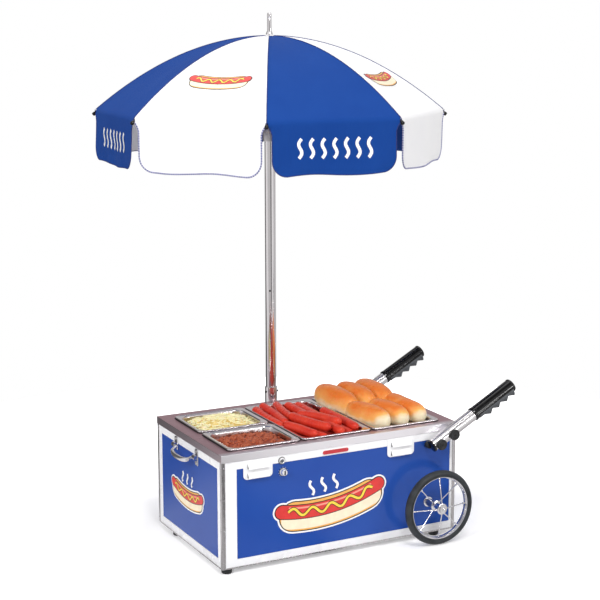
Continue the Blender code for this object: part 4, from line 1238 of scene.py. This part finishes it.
def flap_half(depth):
    """Half the width of a valance flap at a depth below the hem."""
    t = min(1.0, max(0.0, depth / 26.0))
    half = HEM_HALF - SLIT * t * t * (3 - 2 * t)
    low = depth - (VALANCE - CORNER)
    if low > 0:
        half -= CORNER - math.sqrt(max(CORNER**2 - low**2, 0.0))
    return half


def cloth_profile(d):
    """(distance out, height, half width) of a gore at d.

    d is the rib radius up to the hem, and then the hem's radius plus the depth below it.
    """
    if d <= HEM_R - BEND:
        return d * math.cos(HALF_TURN), rib_z(d) + CLOTH_LIFT, d * math.sin(HALF_TURN)
    if d >= HEM_R + BEND:
        return HEM_OUT, HEM_Z - (d - HEM_R), flap_half(d - HEM_R)
    t = (d - HEM_R + BEND) / (2 * BEND)
    first, last = cloth_profile(HEM_R - BEND), cloth_profile(HEM_R + BEND)
    middle = (HEM_OUT, HEM_Z, HEM_HALF)
    return tuple(a * (1 - t) ** 2 + 2 * b * t * (1 - t) + c * t * t for a, b, c in zip(first, middle, last))


def cloth_point(gore, across, d):
    """A point of a gore, across from -1 to 1 between its ribs, with its sag, folds and waves."""
    out, z, half = cloth_profile(d)
    angle = rib_angle(gore) + HALF_TURN
    u = across * half
    slack = 1 - across * across
    share = min(d, HEM_R) / HEM_R
    z -= 3.5 * slack * math.sin(math.pi * share) ** 0.8
    z += 1.6 * slack * share**2 * noise.noise(Vector((u * 0.016, share * 3.2, gore * 4.1)))
    if d > HEM_R:
        hang = (d - HEM_R) / VALANCE
        wave = 3.4 * math.sin(across * 2.9 + gore * 1.9)
        wave += 3.0 * noise.noise(Vector((u * 0.02, gore * 2.7, 0.5)))
        out += hang * (1.5 + wave) * (0.6 + 0.4 * hang)
        z -= hang * hang * 2.4 * math.sin(across * 3.4 + gore * 2.3)
    return umbrella_point(out, angle, z, u)


def cloth_normal(gore, across, d):
    step = 0.6
    low, high = max(d - step, HOLE_R), min(d + step, HEM_R + VALANCE - 0.01)
    along = cloth_point(gore, across, high) - cloth_point(gore, across, low)
    sideways = cloth_point(gore, across + 0.01, d) - cloth_point(gore, across - 0.01, d)
    return sideways.cross(along).normalized() * -1.0


def cloth_rows():
    rows = [HOLE_R, 24.0, 45.0]
    rows += [45.0 + (HEM_R - BEND - 45.0) * i / 17 for i in range(1, 18)]
    rows += [HEM_R - BEND + 2 * BEND * i / 6 for i in range(1, 7)]
    straight = VALANCE - CORNER
    rows += [HEM_R + BEND + (straight - BEND) * i / 8 for i in range(1, 9)]
    rows += [HEM_R + straight + CORNER * math.sin(math.pi / 2 * i / 9) for i in range(1, 10)]
    return rows


def fold_with_rib(made):
    """The piece gets a mesh of its own; it turns with the rib that it rides on."""
    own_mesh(made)


def rib_of(gore, side):
    """The number of the rib, from 1, that a half of a gore rides on."""
    return (gore if side < 0 else gore + 1) % RIBS + 1


def cloth_half(gore, side, surface, stands_for):
    """Half of a gore with its half of the valance flap: two layers of cloth closed along the flap's edge."""
    rows, columns = cloth_rows(), 12
    verts, normals = [], []
    for layer in (0.0, CLOTH_T):
        for d in rows:
            for column in range(columns + 1):
                across = side * column / columns
                normal = cloth_normal(gore, across, d)
                verts.append((cloth_point(gore, across, d) - normal * layer) * MM)
                normals.append(-normal if layer else normal)
    width, count = columns + 1, len(rows) * (columns + 1)
    faces = []
    for start in range(0, count - width, width):
        for a in range(start, start + columns):
            quad = (a, a + 1, a + 1 + width, a + width)
            top = quad if side < 0 else quad[::-1]
            faces += [top, tuple(i + count for i in top[::-1])]
    curved = len(faces)
    hem_row = next(i for i, d in enumerate(rows) if d >= HEM_R)
    edge = [row * width + columns for row in range(hem_row, len(rows))]
    edge += range(count - 2, count - 2 - columns, -1)
    for a, b in zip(edge, edge[1:]):
        faces.append((a, b, b + count, a + count) if side > 0 else (b, a, a + count, b + count))
    mesh = bpy.data.meshes.new(half_name(f"canopy_{gore + 1}", side))
    mesh.from_pydata(verts, [], faces)
    mesh.shade_smooth()
    loops = []
    for number, face in enumerate(mesh.polygons):
        flat = face.normal.copy()
        loops += [normals[index] if number < curved else flat for index in face.vertices]
    mesh.normals_split_custom_set(loops)
    number = rib_of(gore, side)
    made = dress(bpy.data.objects.new(mesh.name, mesh), f"rib_{number}", surface, stands_for)
    fold_with_rib(made)


def flap_piping(gore, side, radius, surface):
    """The cord sewn round a flap's side and lower edge."""
    points = [cloth_point(gore, side, d) for d in cloth_rows() if d > HEM_R + 1.0]
    points += [cloth_point(gore, side * (1 - i / 12), HEM_R + VALANCE) for i in range(1, 13)]
    number = rib_of(gore, side)
    name = half_name(f"valance_cord_{gore + 1}", side)
    fold_with_rib(make(name, tube(points, radius, 8), f"rib_{number}", surface, 60))


def cloth_print(name, gore, shapes, centre_d):
    """Ink on a gore: outlines in millimetres, x across and y up the cloth, about a row of the cloth."""
    for side in (-1, 1):
        layers = {}
        for level, (ink, outline) in enumerate(shapes):
            bm = bmesh.new()
            bm.faces.new([bm.verts.new((x, y, 0.0)) for x, y in outline])
            cuts = [((0, 0, 0), (side, 0, 0), True)]
            cuts += [((at, 0, 0), (1, 0, 0), False) for at in range(-170, 171, 10)]
            cuts += [((0, at, 0), (0, 1, 0), False) for at in range(-90, 91, 10)]
            for point, normal, trim in cuts:
                whole = bm.verts[:] + bm.edges[:] + bm.faces[:]
                bmesh.ops.bisect_plane(bm, geom=whole, plane_co=point, plane_no=normal, clear_inner=trim)
            bmesh.ops.triangulate(bm, faces=bm.faces[:], ngon_method="EAR_CLIP")
            for vert in bm.verts:
                d = centre_d - vert.co.y
                across = vert.co.x / cloth_profile(d)[2]
                out = cloth_normal(gore, across, d) * (0.25 + 0.12 * level)
                vert.co = cloth_point(gore, across, d) + out
            layers.setdefault(ink, []).append(bm)
        number = rib_of(gore, side)
        for ink, meshes in layers.items():
            label = half_name(f"{name}_{ink}", side)
            fold_with_rib(make(label, merged(*meshes), f"rib_{number}", ink, 60))


def build_canopy():
    for gore in range(RIBS):
        blue = gore % 2 == 0
        for side in (-1, 1):
            stands = ("canopy",) if gore == 0 and side < 0 else ()
            cloth_half(gore, side, "cloth_blue" if blue else "cloth_white", stands)
            flap_piping(gore, side, 1.0 if blue else 1.7, "cord_navy" if blue else "cord_dotted")
        if blue:
            strokes = [steam_stroke(-81.0 + 27.0 * i, -21.0, 21.0, 5.0, 3.7, 6.0) for i in range(7)]
            shapes = [("ink_white", stroke) for stroke in strokes]
            cloth_print(f"valance_steam_{gore + 1}", gore, shapes, HEM_R + 58.0)
        else:
            cloth_print(f"canopy_mark_{gore + 1}", gore, hot_dog(68.0, 19.0, 10.0), 306.0)


def build_ribs():
    radii = [CROWN_R - 1 + (RIB_END - CROWN_R + 1) * i / 24 for i in range(25)]
    for number in range(RIBS):
        angle, body = rib_angle(number), f"rib_{number + 1}"
        across = round_pole(angle)
        bar = tube([on_rib(r, angle) for r in radii], 2.4, 12)
        make(f"{body}_bar", bar, body, "rib_metal", 50, (body,))
        seam = [on_rib(r, angle, CLOTH_LIFT + 0.5) for r in [12.0] + radii[1:] + [HEM_R - 1.5]]
        make(f"seam_{number + 1}", tube(seam, 0.9, 8), body, "cord_navy", 60)
        slope = (on_rib(RIB_END, angle) - on_rib(RIB_END - 8, angle)).normalized()
        cap = [(0, 0), (3.2, 0), (3.5, 0.6), (3.5, 19), (4.2, 20), (4.4, 25.0), (3.4, 26.6), (0, 27.0)]
        make(f"{body}_tip", lathe(cap, on_rib(RIB_END - 7, angle), slope, 20), body, "grip_plastic", 35)
        corner, anchor = umbrella_point(HEM_R, angle, HEM_Z), on_rib(RIB_END + 9, angle, -1.0)
        loop = [corner + Vector((0, 0, 1.0)), (corner + anchor) / 2 + Vector((0, 0, -3.0)), anchor]
        make(f"{body}_tie", tube(loop, 1.0, 8), body, "cord_navy", 60)
        along = Vector((math.cos(angle), math.sin(angle), -2 * RIB_SAG * JOINT_R)).normalized()
        turn = Matrix((along, across, across.cross(along) * -1.0)).transposed().to_4x4()
        clip = bmesh.new()
        for sign in (-1, 1):
            cheek = block((-6, -0.5, -7.2), (6, 0.5, 3.0), 0.3, 1)
            cheek.transform(Matrix.Translation(on_rib(JOINT_R, angle, -2.2) + across * 3.1 * sign) @ turn)
            merged(clip, cheek)
        pin = on_rib(JOINT_R, angle, -JOINT_DROP)
        merged(clip, rod(pin - across * 4.4, pin + across * 4.4, 1.3, 12, 0.2))
        make(f"{body}_clip", clip, body, "rib_metal", 30)
        pin = umbrella_point(CROWN_R, angle, CROWN_Z)
        hinge = rod(pin - across * 4.0, pin + across * 4.0, 1.5, 12, 0.2)
        make(f"{body}_crown_pin", hinge, body, "rib_metal")
        build_stretcher(number, angle, across)


def build_stretcher(number, angle, across):
    outer, inner = on_rib(JOINT_R, angle, -JOINT_DROP), umbrella_point(RUNNER_REACH, angle, RUNNER_Z)
    body = f"stretcher_{number + 1}"
    ahead = (outer - inner).normalized()
    bar = tube([inner + ahead * 5, outer - ahead * 5], 2.0, 12)
    eye = [(1.6, -1.4), (4.0, -1.4), (4.2, -1.0), (4.2, 1.0), (4.0, 1.4), (1.6, 1.4)]
    for end in (inner, outer):
        merged(bar, lathe(eye, end, across, 24, close=True))
    make(f"{body}_bar", bar, body, "rib_metal", 40, (body,))


def build_pole():
    body, at, z, bore = "umbrella", (POLE_X, POLE_Y, 0), CROWN_Z, POLE_R - 1.5
    pole = [(bore, SOCKET_FLOOR + 0.5), (POLE_R - 0.4, SOCKET_FLOOR + 0.5), (POLE_R, SOCKET_FLOOR + 1.2)]
    pole += [(POLE_R, z - 14.0), (bore, z - 14.0)]
    make("pole_tube", lathe(pole, at, UP, 64, close=True), body, "pole_chrome", 30, ("pole",))
    facing = Vector((-0.55, -0.835, 0.0))
    start = Vector((POLE_X, POLE_Y, 530.0)) + facing * (POLE_R - 1.0)
    make("pole_button", rod(start, start + facing * 2.6, 2.2, 16, 0.6), body, "grip_plastic")
    crown = [(0, z + 2.4), (12.0, z + 2.4), (15.0, z + 1.6), (16.4, z), (16.4, z - 3), (15.4, z - 4)]
    crown += [(16.4, z - 5), (16.4, z - 9), (14.0, z - 13.6), (0, z - 14.2)]
    make("crown_hub", lathe(crown, at, UP, 48), body, "grip_plastic", 30)
    lugs = bmesh.new()
    for number in range(RIBS):
        angle = rib_angle(number)
        for sign in (-1, 1):
            cheek = block((14.5, -0.6, -5.0), (23.4, 0.6, 3.2), 0.4, 1)
            centre = Vector((POLE_X, POLE_Y, z)) + round_pole(angle) * 3.4 * sign
            cheek.transform(Matrix.Translation(centre) @ Matrix.Rotation(angle, 4, "Z"))
            merged(lugs, cheek)
    make("crown_lugs", lugs, body, "grip_plastic", 30)
    top, end, radius = z + 10.0, FINIAL_TOP, FINIAL_R
    finial = [(0, end), (2.4, end - 0.4), (4.2, end - 1.8), (radius, end - 4.6), (radius, end - 12.0)]
    finial += [(radius - 0.4, end - 12.6), (radius, end - 13.2), (radius, top + 8.0), (6.4, top + 6.4)]
    finial += [(8.2, top + 1.2), (8.4, top), (7.8, top - 1.2), (4.4, top - 1.2), (4.4, z + 2.0), (0, z + 2.0)]
    make("finial", lathe(finial, at, UP, 48), body, "pole_chrome", 35)
    patch = [(HOLE_R - 2.6, 1135.5), (HOLE_R + 9.0, 1134.6), (HOLE_R + 9.4, 1134.2), (HOLE_R - 2.6, 1134.6)]
    make("crown_patch", lathe(patch, at, UP, 40, close=True), body, "cloth_white", 60)
    socket_pieces(at)
    runner_pieces(at)


def socket_pieces(at):
    bore, floor, top = POLE_R + 0.35, SOCKET_FLOOR, SOCKET_TOP
    profile = [(0, floor), (bore, floor), (bore, top - 0.6), (bore + 0.5, top), (SOCKET_R - 0.4, top)]
    profile += [(SOCKET_R, top - 0.5), (SOCKET_R, floor - 3.4)]
    profile += [(SOCKET_R - 0.8, floor - 4.0), (0, floor - 4.0)]
    make("pole_socket_tube", lathe(profile, at, UP, 56), ROOT, "pole_chrome", 30, ("pole_socket",))
    wall = BODY_D / 2 + 0.4
    plates, screws, marks = bmesh.new(), bmesh.new(), bmesh.new()
    for z in (62.0, 190.0):
        merged(plates, block((POLE_X - 32, wall, z - 14), (POLE_X + 32, wall + 2.4, z + 14), 0.8))
        merged(plates, block((POLE_X - 8.5, wall + 1.5, z - 12), (POLE_X + 8.5, POLE_Y - 11.0, z + 12), 0.8))
        for sign in (-1, 1):
            merged(screws, screw_head((POLE_X + 23 * sign, wall + 2.4, z), (0, 1, 0), 3.6))
    make("socket_brackets", plates, ROOT, "chrome", 30)
    make("socket_screws", screws, ROOT, "plain_steel")
    for sign in (-1, 1):
        start = Vector((POLE_X + sign * (SOCKET_R - 0.6), POLE_Y - 3.0, top - 12.0))
        merged(marks, rod(start, start + Vector((sign * 3.4, 0, 0)), 2.4, 16, 0.4))
    make("socket_set_screws", marks, ROOT, "grip_plastic")


def runner_pieces(at):
    z, bore = RUNNER_Z, POLE_R + 0.35
    profile = [(bore, z + 20), (16.6, z + 20), (17.4, z + 19), (17.4, z + 5), (21.0, z + 4), (21.8, z + 3)]
    profile += [(21.8, z - 3), (21.0, z - 4), (17.4, z - 5), (17.4, z - 20), (16.4, z - 24), (bore, z - 24)]
    make("runner_sleeve", lathe(profile, at, UP, 48, close=True), "runner", "plain_steel", 30, ("runner",))
    start = Vector((POLE_X, POLE_Y - 17.0, z - 13.0))
    make("runner_button", rod(start, start + Vector((0, -3.0, 0)), 3.4, 20, 0.8), "runner", "chrome")


# Studio ----------------------------------------------------------------------


def build_world():
    """A soft sky; polished surfaces mirror the studio's bands instead, and the camera sees white."""
    world = bpy.data.worlds.new("studio")
    world.use_nodes = True
    bpy.context.scene.world = world
    world.node_tree.nodes.clear()
    nodes = Nodes(world.node_tree)
    direction = nodes.node("ShaderNodeTexCoord").outputs["Generated"]
    rays = nodes.node("ShaderNodeLightPath").outputs

    def light(color, strength):
        return nodes.node("ShaderNodeBackground", {0: color, 1: strength}).outputs[0]

    def mixed(use, first, second):
        return nodes.node("ShaderNodeMixShader", {0: rays[use], 1: first, 2: second}).outputs[0]

    sky = light(nodes.ramp(nodes.axes(direction)[2], ((0.0, 0.6), (0.7, 1.0))), 0.5)
    surroundings = mixed("Is Glossy Ray", sky, light(nodes.studio(direction), 0.95))
    seen = mixed("Is Camera Ray", surroundings, light((1.0, 1.0, 1.0), 1.0))
    nodes.node("ShaderNodeOutputWorld", {0: seen})


def area_light(name, place, target, size, power, mirrored=True):
    data = bpy.data.lights.new(name, "AREA")
    data.size, data.energy = size, power
    made = bpy.data.objects.new(name, data)
    made.location = place
    made.rotation_mode = "QUATERNION"
    made.rotation_quaternion = (Vector(target) - Vector(place)).to_track_quat("-Z", "Y")
    made.visible_glossy = mirrored
    bpy.context.scene.collection.objects.link(made)
    return made


def build_paper():
    """The floor: it glows away from the cart for the camera, and polish mirrors the studio in it."""
    paper = Shader("paper", "none", (0.94, 0.94, 0.945), 0.8, specular=0.1, Emission_Color=(1.0, 1.0, 1.0))
    paper.mottle((0.92, 0.92, 0.93), 3.0)
    rays = paper.node("ShaderNodeLightPath").outputs
    ellipse = {0: paper.place((1.0, 1.2, 0.0))}
    away = paper.node("ShaderNodeVectorMath", ellipse, operation="LENGTH").outputs["Value"]
    glow = paper.between(away, 0.2, 1.0, 0.40, 1.1)
    paper.put("Emission Strength", paper.calc("MULTIPLY", glow, rays["Is Camera Ray"]))
    bands = paper.studio(paper.place((1.0, 1.0, 0.0)))
    mirrored = paper.node("ShaderNodeEmission", {0: bands, 1: 0.9}).outputs[0]
    either = {0: rays["Is Glossy Ray"], 1: paper.shader.outputs[0], 2: mirrored}
    mix = paper.node("ShaderNodeMixShader", either).outputs[0]
    paper.feed(paper.tree.nodes["Material Output"].inputs[0], mix)
    return paper.material


def build_stage():
    bm = lathe([(0, FLOOR_Z), (1500, FLOOR_Z)], (0, 0, 0), UP, 96)
    bmesh.ops.scale(bm, vec=(MM, MM, MM), verts=bm.verts)
    floor = bpy.data.meshes.new("floor")
    bm.to_mesh(floor)
    bm.free()
    made = bpy.data.objects.new("floor", floor)
    bpy.context.scene.collection.objects.link(made)
    floor.materials.append(build_paper())
    area_light("key", (-3.1, -1.3, 1.9), (0.0, 0.0, 0.4), 1.6, 62.0, mirrored=False)
    area_light("high", (-0.5, -2.1, 3.0), (0.0, 0.0, 0.3), 0.8, 38.0)
    area_light("fill", (2.4, -2.4, 1.5), (0.1, 0.0, 0.3), 2.0, 34.0, mirrored=False)
    area_light("top", (0.2, 0.6, 3.2), (0.0, 0.1, 0.2), 2.2, 22.0)
    near_grip = Vector((0.38, -0.2, 0.31))
    strip = area_light("strip", (1.35, -3.05, 0.95), near_grip, 0.1, 16.0)
    strip.data.shape, strip.data.size_y = "RECTANGLE", 2.4
    strip.visible_diffuse = False
    outward = (strip.location - near_grip).normalized()
    along = (HANDLE_DIR - outward * HANDLE_DIR.dot(outward)).normalized()
    strip.rotation_quaternion = Matrix((along.cross(outward), along, outward)).transposed().to_quaternion()


def build_camera():
    data = bpy.data.cameras.new("camera")
    data.sensor_width, data.lens = 36.0, 90.10
    data.shift_x, data.shift_y = -0.012183, 0.000733
    data.clip_start, data.clip_end = 0.05, 50.0
    made = bpy.data.objects.new("camera", data)
    azimuth, elevation = math.radians(-27.584), math.radians(10.998)
    level = math.cos(elevation)
    back = Vector((math.sin(azimuth) * level, -math.cos(azimuth) * level, math.sin(elevation)))
    made.location = (-1.56216, -2.99882, 1.19622)
    made.rotation_mode = "QUATERNION"
    made.rotation_quaternion = (-back).to_track_quat("-Z", "Y")
    scene = bpy.context.scene
    scene.collection.objects.link(made)
    scene.camera = made
    scene.view_settings.view_transform = "Standard"


def build_all():
    build_paint()
    build_metals()
    build_rubbers()
    build_cloths()
    build_foods()
    build_inks()
    build_body()
    build_prints()
    build_food()
    for place, side in (("front", -1), ("rear", 1)):
        build_wheel(place, side)
        build_push_handle(place, side)
    build_carry_handle()
    build_pole()
    build_ribs()
    build_canopy()
    build_world()
    build_stage()
    build_camera()


build_all()
bpy.context.view_layer.update()
